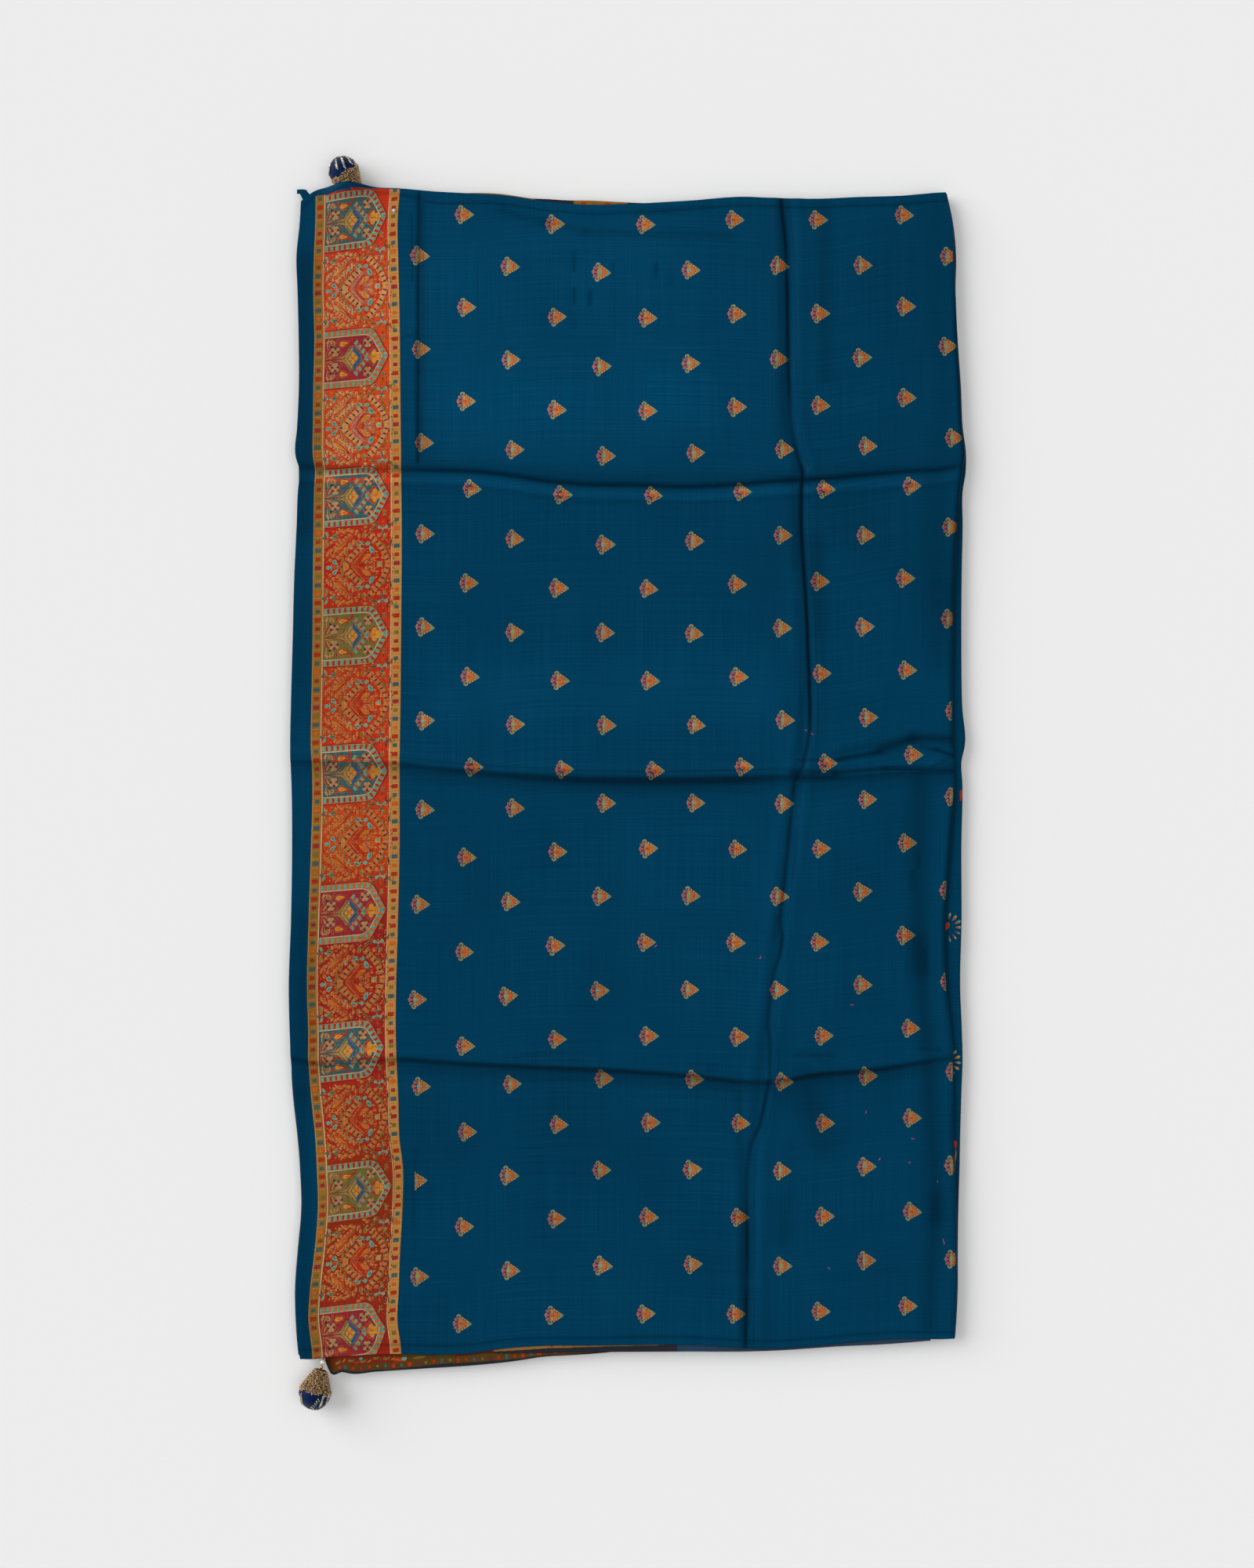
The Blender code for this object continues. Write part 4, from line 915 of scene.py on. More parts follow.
def archLine(half, apex, steps=64):
    # Half of an arch's outline, from its base to its apex: straight, then a round shoulder,
    # then straight to the apex. The corner is cut by a curve whose handle is the corner.
    base, r = arch["base"], arch["roundness"]
    corner = np.array([arch["corner"] + (half - arch["inner"]) * arch["cornerGrow"], half])
    tip = np.array([apex, 0.0])
    down = (tip - corner) / np.linalg.norm(tip - corner)
    start, bendIn, bendOut = np.array([base, half]), corner - (r, 0.0), corner + down * r
    t = np.linspace(0, 1, 13)[:, None]
    curve = (1 - t) ** 2 * bendIn + 2 * t * (1 - t) * corner + t ** 2 * bendOut
    path = np.concatenate([start[None], curve, tip[None]])
    run = np.concatenate([[0], np.cumsum(np.linalg.norm(np.diff(path, axis=0), axis=1))])
    at = np.linspace(0, run[-1], steps + 1)
    return np.stack([np.interp(at, run, path[:, k]) for k in range(2)], axis=1), run[-1]


def archField(thread, half, apex):
    # The panel's ground: columns along the arch, each reaching from its lower to upper side
    line = archLine(half, apex)[0]
    columns = np.linspace(arch["base"], apex - 0.2, 34)
    reach = np.interp(columns, line[:, 0], line[:, 1])
    v = reach[:, None] * np.linspace(-1, 1, 13)
    u = np.broadcast_to(columns[:, None], v.shape)
    faces = halves(gridQuads(*v.shape)[:, [0, 3, 2, 1]])
    return {thread: (np.stack([u.ravel(), v.ravel()], axis=1), np.zeros(v.size), faces)}


def archEdging(between, lineThread):
    # A pale strip along the edging; on it, dashes of two threads in turn at an even pitch,
    # and a thin line along each of its sides. Everything is drawn on both sides of the arch.
    halfway = ((arch["outer"] + arch["inner"]) / 2, (arch["apex"] + arch["fieldApex"]) / 2)
    middle, length = archLine(*halfway)
    run = np.linspace(0, length, len(middle))
    width = arch["outer"] - arch["inner"] - 1.5
    rows = []
    for k in range(2 * int(length / arch["dashPitch"]) + 2):
        thread = between if k % 2 else "turquoise"
        at = (0.3 + 0.5 * k) * arch["dashPitch"]
        if at > length - 0.8:
            continue
        (u, v), (aheadU, aheadV) = ([float(np.interp(a, run, part)) for part in middle.T]
                                    for a in (at, at + 0.4))
        lean = math.degrees(math.atan2(aheadV - v, aheadU - u)) - 90
        c, s = direction(lean)
        size = width * (0.86 if k % 2 else 1.0)
        rows.append((thread, "bar", u - c * size / 2, v - s * size / 2, size, arch["dash"], lean, 0, 1, 2))
    motif = buildMotif(rows)
    lines = ((*halfway, "sand", width + 0.5, 0.6),
             (arch["outer"], arch["apex"], lineThread, 1.0, 3),
             (arch["outer"] - 0.8, arch["apex"] - 1.0, "gold", 0.5, 4),
             (arch["inner"], arch["fieldApex"], "cream", 0.9, 3))
    for half, apex, thread, thick, level in lines:
        line = archLine(half, apex, 34)[0]
        points, lift, faces = ribbonShape(line, np.full(len(line), thick), 0.05)
        lift = lift + level * strokeLift["level"]
        parts = [(points, lift, faces), (points * (1, -1), lift, faces[:, ::-1])]
        motif[thread] = joinParts(parts + [motif[thread]] if thread in motif else parts)
    return motif


def flowerRows(x, y, reach):
    # Round flower: pale and purple drops in turn from the middle out, and a pale heart
    rows = []
    for k in range(7):
        turn = 90.0 + 360.0 * k / 7
        c, s = direction(turn)
        thread, share = ("purple", 0.5) if k in (0, 2, 5) else ("gold", 0.56)
        rows.append((thread, "drop", x + c * 0.7, y + s * 0.7, reach - 0.7, reach * share, turn, 0, 1, 2))
    return rows + [(thread, "disc", x, y, reach * share, reach * share, 0, 0, 1, level)
                   for thread, share, level in (("pink", 0.56, 3), ("cream", 0.3, 4))]


# A paisley: a drop with its round head to the left, whose tail curls up and back. Only its
# place and size are scaled, and it is drawn from its own middle.
paisleyStrokes = table("""
    red drop 9 1.2 12.6 7 192 14 1 1; red curl 5.4 0.6 11.5 2.2 12 210 1 2;
    yellow drop 6 0.6 8.6 4.3 190 12 1 3; orange leaf 3.4 0.2 4.8 1.5 188 8 1 4
""")


def paisleyRows(x, y, scale):
    return [(thread, shape, x + px * scale, y + py * scale, length * scale, width * scale, *rest)
            for thread, shape, px, py, length, width, *rest in paisleyStrokes]


panelStrokes = table("""
    # diamond: olive and pale lines at its left, blue at its right, a star in the middle;
    olive bar 28.8 0 13.8 1.8 56 0 1 1; gold bar 31 0 12 0.9 56 0 1 2; olive bar 32.8 0 10.2 1.1 56 0 1 1;
    blue bar 37.2 11 13.4 3.4 -52 0 1 1; sand bar 37.6 6.8 8.4 0.8 -52 0 1 2;
    sand bar 34.2 0.4 7.2 0.8 58 0 1 2; yellow drop 37.4 0 5.2 4 0 0 0 3;
    yellow drop 38.8 0 5 3.8 180 0 0 3; yellow drop 38.1 0 5.3 3.8 90 0 1 3;
    orange leaf 35.8 0 3.8 2.4 0 0 0 5;
    # crown leaf by the apex;
    red bar 50.6 0 11.4 2.8 44 0 1 1; coral bar 52.8 0 8.6 1 44 0 1 2; yellow leaf 54.6 0 11.2 6.8 0 0 0 2;
    yellow drop 56.6 0.6 6.6 4 62 0 1 3; yellow leaf 58.8 0.8 6.2 2.8 26 0 1 3;
    orange leaf 55.2 0 6.4 1.4 0 0 0 4;
    # stem and branches from the base, in pairs that open like a fan;
    rust line 11.6 0.6 15 1 2 0 1 1; gold line 11.4 1.4 11.4 1 34 64 1 1;
    sand line 13.8 1.4 11.6 0.7 30 70 1 2; rust line 21 0.8 12 1.4 30 60 1 1;
    gold line 22.6 0.8 12.4 1 30 56 1 2; sand line 19.8 1 11 0.6 34 66 1 2;
    olive line 25.2 0.6 13.6 1.4 38 44 1 1; gold line 26.6 0.6 12.6 0.7 40 40 1 2;
    # red strokes at the base;
    red leaf 12 2 9.6 2.3 70 -20 1 2; gold leaf 13.8 3.4 6.4 1.2 64 -30 1 2;
    # scrolls in the corners;
    gold curl 13.8 9.8 21 1.1 108 -360 1 2; sand curl 15.4 11.2 14 0.8 104 -340 1 3;
    gold curl 20 13.4 11 1.1 76 300 1 2; red leaf 21.8 14.4 6 2 74 20 1 3;
    coral leaf 18.2 15.4 4.4 1.6 100 0 1 3; gold leaf 11.8 15.8 5.4 1.5 60 30 1 2;
    ink disc 16.4 12.6 2.2 1.8 40 0 1 4; coral leaf 43.4 13.6 4.4 1.4 -120 0 1 2
""")


def panelRows():
    # The strokes, and two dashed arms that meet between the diamond and the crown leaf
    heading = -52.0
    c, s = direction(heading)
    startU, startV = 40.4, 15.2
    rows = panelStrokes + [("sand", "bar", startU, startV, 19.4, 3.6, heading, 0, 1, 0)]
    for k in range(7):
        along = 1.0 + 2.8 * k
        thread, size = ("red", 3.1) if k % 2 else ("turquoise", 4.1)
        rows.append((thread, "bar", startU + c * along + s * size * 0.4, startV + s * along - c * size * 0.4,
                     size, 1.9, heading + 102, 0, 1, 2))
    return rows + flowerRows(20.8, 7.9, 4.9) + flowerRows(52.6, 14.2, 4.9) + paisleyRows(27.6, 14.8, 0.98)


def petalRow(x, y, turn, bend, length, count, tall):
    # Pale yellow and purple bars in turn along a bent line, each lying across it. The shares
    # are of the bar's height: how far its start lies before the line, and its length.
    spine = strokeSpine(x, y, length, turn, bend, 2 * count)
    kinds = ((("yellow", "bar", 0.5, 1.0, 2.5, 2), ("orange", "leaf", 0.3, 0.6, 0.7, 3)),
             (("purple", "leaf", 0.42, 0.84, 2.0, 3),))
    rows = []
    for k in range(2 * count):
        heading = turn + bend * ((k + 0.5) / (2 * count) - 0.5) + 90
        c, s = direction(heading)
        px, py = spine[k]
        for thread, shape, back, share, width, level in kinds[k % 2]:
            rows.append((thread, shape, px - c * tall * back, py - s * tall * back, tall * share, width,
                         heading, 0, 1, level))
    return rows


deeperThreads = {"cream": "gold", "yellow": "amber", "gold": "amber", "pink": "red", "rust": "plum"}
# Pale dots strewn in the free parts of a medallion: across, along and turn
medallionDots = table("""
    14.2 22.6 40; 17.6 24.4 20; 12.8 26 80; 20.4 27 30; 23.2 33.2 10; 26 35 0; 29.4 33.4 20; 33 35.4 10;
    37.2 33.6 30; 41.6 33.4 60; 38.4 24 50; 35 21.4 40; 30.6 17 50; 27.4 12.2 60; 24.4 8.6 50; 16.6 7.2 70;
    19.6 11 40; 14 13.6 80; 59.6 24.8 40; 62.8 27.8 20; 56 27 30; 49.6 37.4 10; 57.2 39.2 20; 66 6.6 60;
    68 27.6 80; 46.6 40 0
""")


medallionStrokes = table("""
    # heart of two drops inside a pale wedge;
    pink leaf 36.4 0 24 9 43 0 1 0; cream line 37.4 0.8 19 0.8 50 -6 1 1;
    red drop 40.2 0.2 19 7.6 38 -12 1 2; pink drop 42.2 1.4 15.8 5.4 38 -12 1 3;
    yellow drop 45 3.4 11.6 4 38 -10 1 4; orange leaf 47.8 5.6 6.4 1.3 38 -8 1 5;
    # small tree to the right of it;
    pink line 46 0 15.6 1 0 0 0 2; cream leaf 52.6 0.2 6 1 40 -30 1 3; pink leaf 55 0.2 5 1.1 52 -20 1 2;
    pink leaf 50.4 0.2 5 1.1 40 -20 1 2; orange drop 54 4.6 5.2 2.6 22 0 1 2;
    cream disc 63 0 5.6 5.4 45 0 0 2; turquoise leaf 60.6 0 4.8 3.2 0 0 0 3;
    cream leaf 62.2 0 3.2 1 90 0 1 4;
    # turquoise leaves along the outside of the inner ring;
    turquoise leaf 35.2 15.8 5.6 3.2 60 -20 1 2; turquoise drop 41 19.2 6.4 3.8 34 0 1 2;
    tealThread leaf 42.2 20.8 3.6 1.6 20 0 1 4; turquoise drop 48.4 20.2 5.6 3.2 8 -20 1 2;
    rust leaf 46.6 21.8 3.4 1.2 -20 0 1 3; turquoise leaf 53.8 18.4 8.2 4 -62 10 1 3;
    tealThread leaf 54.8 16.6 4.6 1.4 -62 10 1 4;
    # trefoil and stem at the left;
    turquoise drop 18.8 0 6.4 3.8 180 0 0 2; turquoise drop 23.2 1.8 6.4 3.8 132 0 1 2;
    tealThread leaf 21.4 3.8 3.4 1.4 132 0 1 3; red leaf 17.6 0 6 1.7 0 0 0 3;
    cream line 20.4 0.3 9.6 0.8 8 0 1 2; purple disc 27.4 0 2.6 2.4 0 0 0 3; gold disc 30 0 3.2 4 0 0 0 3;
    olive leaf 26.6 1.6 8.6 1.9 78 26 1 1; olive leaf 32.4 9.4 9.6 2.1 92 -30 1 1;
    # spray: drop with its head low at the left, petals and ticks along both sides;
    pink drop 38.6 28 25 5.8 218 6 1 1; red drop 37.6 27.4 23 4.4 218 6 1 2;
    yellow drop 33 24 16.4 3 217 4 1 3; orange leaf 29 20.8 9 1.2 216 4 1 4;
    red leaf 30.6 22.6 12.4 1.5 44 -8 1 3;
    # corner sprigs and scrolls;
    turquoise drop 13.4 30.2 4.6 2.6 100 0 1 2; tealThread drop 12.8 29.8 4.2 2.4 190 0 1 2;
    turquoise drop 15.4 29.4 4.6 2.4 350 0 1 2; red drop 13.8 29 3 1.8 262 0 1 2;
    cream disc 14 29.6 1.7 1.7 0 0 1 4; olive leaf 17.4 29.4 6.6 2 36 20 1 2;
    tealThread leaf 17.8 29 6 1.9 4 -20 1 2; olive leaf 17.4 28.6 5.6 1.7 -28 -20 1 2;
    turquoise drop 66.8 34.2 4.8 2.8 30 0 1 2; turquoise drop 65.6 34.2 4.8 2.8 150 0 1 2;
    tealThread drop 66.2 33 4.4 2.6 270 0 1 2; red leaf 66.2 34.8 3.4 1.4 90 0 1 3;
    cream disc 66.2 33.8 1.7 1.7 0 0 1 4; olive leaf 46.6 27 7 2.2 70 24 1 1;
    olive curl 52 31.6 14 1.4 14 240 1 1; rust leaf 54 35.2 8 1.7 8 20 1 1;
    olive curl 68.6 12.4 15 1.5 84 230 1 1; rust leaf 72.8 15.8 9.4 1.7 84 20 1 1;
    olive leaf 66.4 23 8 2.1 60 -30 1 1; olive disc 68 18.2 2.4 1.8 20 0 1 2;
    rust curl 71.4 44 13 1.3 -112 230 1 1; olive leaf 68.8 46.4 8.6 1.9 116 34 1 1;
    olive curl 73.2 36.4 10.5 1.2 72 -230 1 1; rust leaf 62.6 38.2 7 1.5 152 20 1 1;
    gold disc 61.2 29 2 1.6 0 0 1 2; olive leaf 11.8 19 8.4 2.2 74 -30 1 1;
    gold leaf 12.4 10 8.4 1.7 70 30 1 1; red leaf 14 7 6 1.6 60 30 1 1; gold disc 27 30.6 2.6 2.3 0 0 1 2;
    ink disc 27 30.6 1 0.9 0 0 1 3; yellow leaf 43.8 26.6 4.6 2.4 96 0 1 2
""")


def medallionRows(deeper=False):
    # The deeper kind, of the lower repeats, takes darker and redder threads
    rows = medallionStrokes + petalRow(31.2, 2.2, 45, -22, 25.0, 5, 5.2)
    rows += petalRow(70.6, 1.8, 124, 40, 35.6, 7, 4.8)
    for u, v, turn in medallionDots:
        rows.append(("yellow", "disc", u, v, 2.9, 2.4, turn, 0, 1, 2))
        rows.append(("red", "leaf", u + 1.6, v - 0.9, 2.8, 1.2, turn + 80, 0, 1, 3))
    c, s = direction(39)
    for k in range(7):
        bx, by = 19.6 + c * (1.0 + 3.5 * k), 12.6 + s * (1.0 + 3.5 * k)
        for side, heading in ((1, 96), (-1, -24)):
            u, v = bx - side * s * 4.7, by + side * c * 4.7
            rows.append(("yellow", "disc", u, v, 2.9, 2.4, heading, 0, 1, 2))
            rows.append(("orange", "disc", u, v, 1.2, 1.0, 0, 0, 1, 3))
            rows.append(("red", "leaf", bx - side * s * 4.0 + 1.9, by + side * c * 4.0 + 0.6, 3.2, 1.5,
                         heading, 0, 1, 3))
    return [(deeperThreads.get(row[0], row[0]) if deeper else row[0], *row[1:]) for row in rows]


def groundFiller():
    # Short strokes strewn between the motifs of a ground, all of them under the others
    pick = np.random.default_rng(5)
    rows = []
    threads = ("gold", "rust", "coral", "amber", "red", "gold", "red", "coral", "purple")
    for u in np.arange(12.5, 75.0, 3.1):
        for v in np.arange(0.9, 52.0, 2.9):
            if v > 38.0 and u < 62.0 + (v - 38.0) * 0.3:
                continue
            px, py = u + pick.normal(0, 0.7), v + pick.normal(0, 0.6)
            rows.append((threads[pick.integers(len(threads))], "leaf", px, py, pick.uniform(1.8, 3.8),
                         pick.uniform(0.8, 1.6), pick.uniform(0, 360), pick.uniform(-60, 60), 1, -0.6))
    return rows


# The two gold strips carry a row of small squares: each one's thread and length along
stripSquares = table("""
    olive 3.8; magenta 3.8; red 5.6; tealThread 3.8; orange 5.4; rust 3.8; tealThread 5.4; red 4.2;
    magenta 5.6; olive 3.8; tealThread 5.4; orange 4; red 5.6; tealThread 3.8; red 5.6; magenta 4
""")


def stripRows():
    # One repeat of squares from a panel's middle downwards, on both strips
    pitch = 135.0 / len(stripSquares)
    rows = []
    for k, (thread, size) in enumerate(stripSquares):
        v = -k * pitch
        for u in (4.6, 79.2):
            wide = 3.9 if size > 5 else 3.4
            rows.append((thread, "bar", u - size / 2, v, size, wide, 0, 0, 0, 2))
            rows.append(("gold", "bar", u - 3.4, v - pitch / 2, 6.8, 0.5, 0, 0, 0, 1))
    return rows


def edgeLines():
    # Thin pale lines along the edges of both strips
    store = {}
    for u, thread, thick in table("0.6 gold 0.8; 9.6 cream 1.1; 74.3 cream 0.9; 83.5 gold 0.8"):
        spine = np.stack([np.full(500, u), np.linspace(-560, 586, 500)], axis=1)
        store.setdefault(thread, []).append(ribbonShape(spine, np.full(500, thick), 0.1))
    return {thread: joinParts(parts) for thread, parts in store.items()}


bandLimits = {
    "x": lambda x, y: (sideX("bandLeft", y) + 0.2, sideX("bandRight", y) - 0.2),
    "y": lambda x, y: (crossY("bottom", x) + 0.5, crossY("bandHem", x)),
}
panelThreads = {"teal": ("tealThread", "red", "magenta"), "magenta": ("magenta", "orange", "magenta"),
                "olive": ("olive", "red", "rust")}


def makeBandMotifs():
    store = {}
    centres = bandLayout["panelY"]
    for colour, (fieldThread, between, line) in panelThreads.items():
        places = [(0, y, 0, 1) for y, name in zip(centres, bandLayout["panelColour"]) if name == colour]
        for motif in (archField(fieldThread, arch["inner"], arch["fieldApex"]), archEdging(between, line),
                      buildMotif(panelRows(), "sand", 0.56)):
            copyMotif(store, motif, places, True)
    between = [(0, (a + b) / 2, 0, 1) for a, b in zip(centres[:-1], centres[1:])]
    squaresFrom = [(0, y, 0, 1) for y in (centres[0] + 135.0, *centres)]
    for motif, places in ((buildMotif(medallionRows(), "cream", 0.5), between[:2]),
                          (buildMotif(medallionRows(True), "gold", 0.5), between[2:]),
                          (buildMotif(groundFiller()), between), (buildMotif(stripRows()), squaresFrom),
                          (edgeLines(), [(0, 0, 0, 1)])):
        copyMotif(store, motif, places, True)
    return layThreads("band", store, bandLimits, topHeight, shadeAt)


bandPieces = makeBandMotifs()

print("lower layers")
lowEdge = table("""
    -293 -559; -290.5 -566.4; -275.6 -570.2; -268.4 -571.7; -244.9 -569.9; -218.3 -568.1; -191.7 -566.4;
    -152.2 -563.9; -107.1 -559.2; -81.9 -555.4; -56.6 -553.8; -31.5 -552.2; -6.5 -549; 15 -541.6;
    120 -544.4; 190 -541.2; 265 -535.2; 294 -535.2
""")
midEdge = table("""
    -172 -549; -150 -551; -133.3 -551.4; -76.3 -551.2; -15.6 -550.4; 60.4 -550; 121.9 -549.8; 148.4 -548.8;
    181.8 -546.6; 201.6 -545.2; 252.5 -542.7; 277.5 -540.8; 294 -539.4
""")
topEdge = table("""
    -213 574; -175 571.5; -152.2 572.7; -123.4 571.8; -107.1 569.6; -94.5 567.7; -75.6 566.7; -56.7 565.5;
    -37.8 565.4; -12.5 564.2; 14.8 562.9; 60 563.2; 120 566.4; 200 565; 294 570
""")
borderRows = np.array((*np.arange(0, 10, 0.45), 10.5, 11.5, 13, 16, 22, 30, 42, 56))


def edgeY(edge, x):
    return softLine(*zip(*edge), x)


def borderSheet(name, edge, top, sign, tint, node):
    # A layer that shows along a hem: rows run in from its free edge, which is turned over.
    # tint gives its colour from x and the distance in from the edge: thread colours, and painted shade where
    # its silk lies in shade.
    x, t = np.meshgrid(np.linspace(edge[0][0], edge[-1][0], 226), borderRows)
    grids = x, edgeY(edge, x) + sign * t, top + 0.10 * np.sin(x / 11.0) * ease((6.0 - t) / 6.0) - 0.1
    x, y, z = hemmed([g[::sign] for g in grids], ["bottom" if sign > 0 else "top"], turn=6.0)
    colour = tint(x, sign * (y - edgeY(edge, x))).reshape(-1, 3)
    return clothSheet(name, (x, y, z), brocadeGround, node, colour)


def threadColour(name, share):
    # A colour between a thread's deep and light ends, in linear light
    deep, light = (np.array(linear(c)) for c in threadColours[name])
    return deep + (light - deep) * share


silkTint = np.array(linear((2, 50, 76)))
# silk in shade, about half as bright as silkTint: painted shade for turned rims and for silk lying beside the
# layers above
shadowedSilkTint = np.array(linear((2, 26, 42)))


def lowTint(x, inward):
    rim = np.interp(x, (-280, -226, -176, -160, -114, -75, -20), (2.6, 1.6, 3.8, 3.4, 2.4, 1.4, 0.8))
    colour = np.broadcast_to(np.array(linear((70, 50, 18))), (*x.shape, 3)).copy()
    colour[(x < -226.0) & (inward > 8.0)] = np.array(linear((104, 28, 14)))
    # painted shade: the turned rim, and the plain silk past x = -6 below, take the colour of silk in shade
    colour[inward < rim] = shadowedSilkTint
    # painted shade: the layer darkens towards the shaded gap at its left end
    leftGapShade = np.clip((x + 291.0) / 9.0, 0.12, 1.0)[..., None]
    colour = colour * leftGapShade
    colour[x > -6.0] = shadowedSilkTint
    return colour


def midTint(x, inward):
    start = np.interp(x, (-172, -129, -75, 28, 60), (1.0, 1.6, 4.6, 6.2, 8.4))
    colour = np.broadcast_to(np.array(linear((136, 98, 50))), (*x.shape, 3)).copy()
    # painted shade: the rim in from the free edge takes the colour of silk in shade
    colour[inward < start] = shadowedSilkTint
    colour[(x < -129.0) & (inward < 3.0)] = threadColour("maroon", 0.5)
    colour[x > 48.0] = silkTint
    return colour


def topTint(x, inward):
    # painted shade: outside its gold parts this strip takes the colour of silk in shade, beside the top
    # layer's edge
    colour = np.broadcast_to(shadowedSilkTint, (*x.shape, 3)).copy()
    colour[x < -91.0] = np.array(linear((126, 64, 26)))
    colour[(x < -91.0) & (inward < 1.2)] = threadColour("oldGold", 0.6)
    colour[(x > -53.0) & (x < 0.0)] = np.array(linear((124, 84, 28)))
    return colour


borderLow = borderSheet("borderLow", lowEdge, layout["lowTop"], 1, lowTint, "border_stretch_low")
borderMid = borderSheet("borderMid", midEdge, layout["stackTop"], 1, midTint, "border_stretch_mid")
borderTop = borderSheet("borderTop", topEdge, layout["stackTop"], -1, topTint, "border_stretch_top")


def borderMotifs(name, edge, sign, top, rows):
    # Strokes placed by x and by distance in from the free edge
    store = {}
    for x, inward, motif in rows:
        slope = float(edgeY(edge, x + 1.0) - edgeY(edge, x - 1.0)) / 2
        place = (x, float(edgeY(edge, x)) + sign * inward, math.degrees(math.atan(slope)), 1.0)
        copyMotif(store, motif, [place])
    limits = {"x": lambda x, y: (edge[0][0] + 0.5, edge[-1][0] - 0.5),
              "y": lambda x, y: (edgeY(edge, x) + 0.3, 900.0) if sign > 0 else (-900.0, edgeY(edge, x) - 0.3)}
    return layThreads(name, store, limits, lambda x, y: np.full_like(x, top - 0.05))


def square(thread, size, tall):
    return buildMotif([(thread, "bar", -size / 2, 0, size, tall, 0, 0, 0, 1)])


leafThreads = ("orange", "red")
# Squares along the lowest layer's gold strip: thread, length and height
bottomSquares = table("""
    red 3.8 3.8; tealThread 2.8 3; red 4 4.2; purple 2.6 2.6; olive 2.6 2.6; red 2.8 3.4; tealThread 3 4.4;
    olive 2.8 2.8; red 3.2 4.8; red 2.8 3; tealThread 3 4.4; olive 2.4 2.4; purple 2.8 4.6; red 3 3.6;
    tealThread 3.2 4.8; red 2.8 3.2; red 3.8 4.8; tealThread 2.6 2.6; red 4.2 4.4; purple 2.8 3;
    olive 2.4 2.4; red 3.2 2.6; tealThread 3 2.4; olive 2.4 2.2; red 3.6 2.2; red 3.2 2
""")


def makeBorderMotifs():
    # Squares along the lowest layer's gold strip, leaf scrolls above it, and the few squares
    # that show on the middle and top layers
    leafBit = [buildMotif(table(
        "olive leaf -4 0 8 2.2 16 40 0 2; rust curl 2 0 10 1.2 -30 220 0 1; coral leaf -3 2 5 1.2 -18 30 0 2;"
        + bright + " leaf 3 -1.4 6 1.8 24 0 0 1; plum disc 5 1.6 2 1.4 0 0 0 2")) for bright in leafThreads]
    panelBit = buildMotif(table(
        "red bar -5 0 12 4.6 0 0 0 0; turquoise disc 5.2 0.6 5.6 3.4 10 0 0 2; "
        "orange leaf -4.6 0.8 7 1.8 -12 0 0 2; rust leaf -3 -1.2 6 1.6 24 0 0 2"))
    low = [(-279.0, 5.0, square("red", 3.0, 3.2)), (-221.5, 10.2, panelBit)]
    cornerSquares = table("tealThread 3 3; red 2.8 2.6; magenta 2.8 2.6; red 2.6 3; olive 2.4 2.4; "
                          "tealThread 2.6 3")
    low += [(-273.6 + 7.84 * k, 5.4, square(*row)) for k, row in enumerate(cornerSquares)]
    for k, row in enumerate(bottomSquares):
        x = -226.7 + 7.84 * k
        inward = float(np.interp(x, (-226, -176, -160, -114, -75, -20), (4.6, 6.8, 6.2, 5.0, 3.6, 2.4)))
        low.append((x, inward, square(*row)))
    for k, (x, inward) in enumerate(table("-280 9.8; -268 12; -256 11.2; -243.5 12.6; -233 11.6")):
        low.append((x, inward, leafBit[k % 2]))
    low += [(x, inward, buildMotif(table(row))) for x, inward, row in (
        (-258.3, 14.6, "turquoise disc 0 0 3.4 2.8 0 0 0 3"),
        (-203.0, 10.6, "olive leaf -6 0 14 2.6 4 0 0 1"),
        (-188.0, 12.8, "maroon leaf -7 0 12 1.4 0 0 0 1"),
        (-152.0, 11.0, "maroon leaf -17 0 34 2.4 2 0 0 1"))]
    mid = [(x, y, square("red", 3.0, 1.2)) for x, y in table("-73 6.4; -52 6.8; -38 6.6; -14 6.8")]
    mid += [(x, 6.2, square("olive", 2.4, 1.0)) for x in (-110.0, -96.0, -62.0, -26.0, 2.0)]
    top = [(x, 2.6, square("red", 4.0, 2.2)) for x in (-42.6, -19.5)]
    top += [(x, 2.6, square("olive", 3.6, 1.8)) for x in (-33.0, -10.0)]
    borderMotifs("low", lowEdge, 1, layout["lowTop"], low)
    borderMotifs("mid", midEdge, 1, layout["stackTop"], mid)
    borderMotifs("top", topEdge, -1, layout["stackTop"], top)


makeBorderMotifs()


def makeRightFold():
    # The lower fold at the right: an upper leg, half a ring, and a lower leg under it. The
    # steps are each column's distance out from the fold's line, and its height.
    y = np.linspace(0, 1, 300) * (float(crossY("top", 310)) - float(crossY("bottom", 318)) - 1.4)
    y = y + float(crossY("bottom", 318)) + 0.7
    top, low, leg = layout["lowFoldTop"], layout["lowFoldTop"] - 3.0, layout["lowFoldLeg"]
    half = (top - low) / 2
    steps = [(-1.5 - leg * (1 - s), top) for s in np.linspace(0, 1, 23)]
    steps += [(-1.5 + 1.5 * math.cos(a), top - half + half * math.sin(a))
              for a in np.linspace(math.pi / 2, -math.pi / 2, 11)[1:]]
    steps += [(-1.5 - leg * s, low) for s in np.linspace(0, 1, 5)[1:]]
    out, height = np.array(steps).T
    edge = sideX("lowFold", y)[:, None]
    x, y = edge + out, np.repeat(y[:, None], len(steps), axis=1)
    wave = 0.15 * np.sin(y / 13.0) + 0.1 * np.sin(y / 5.1)
    z = height + np.minimum(wave * (height > low + 0.1), 0.1)
    # painted shade: a band beside the upper fold's edge, which shades this fold, and a thin band along this
    # fold's rim where it turns down
    shade = (1 - 0.34 * hump(x - sideX("topFold", y) - 1.0, 3.4)) * (1 - 0.30 * hump(edge - x, 1.3))
    return clothSheet("rightFold", (x, y, z), shadedSilk, "fold_stretch_right", None, shade)


rightFold = makeRightFold()


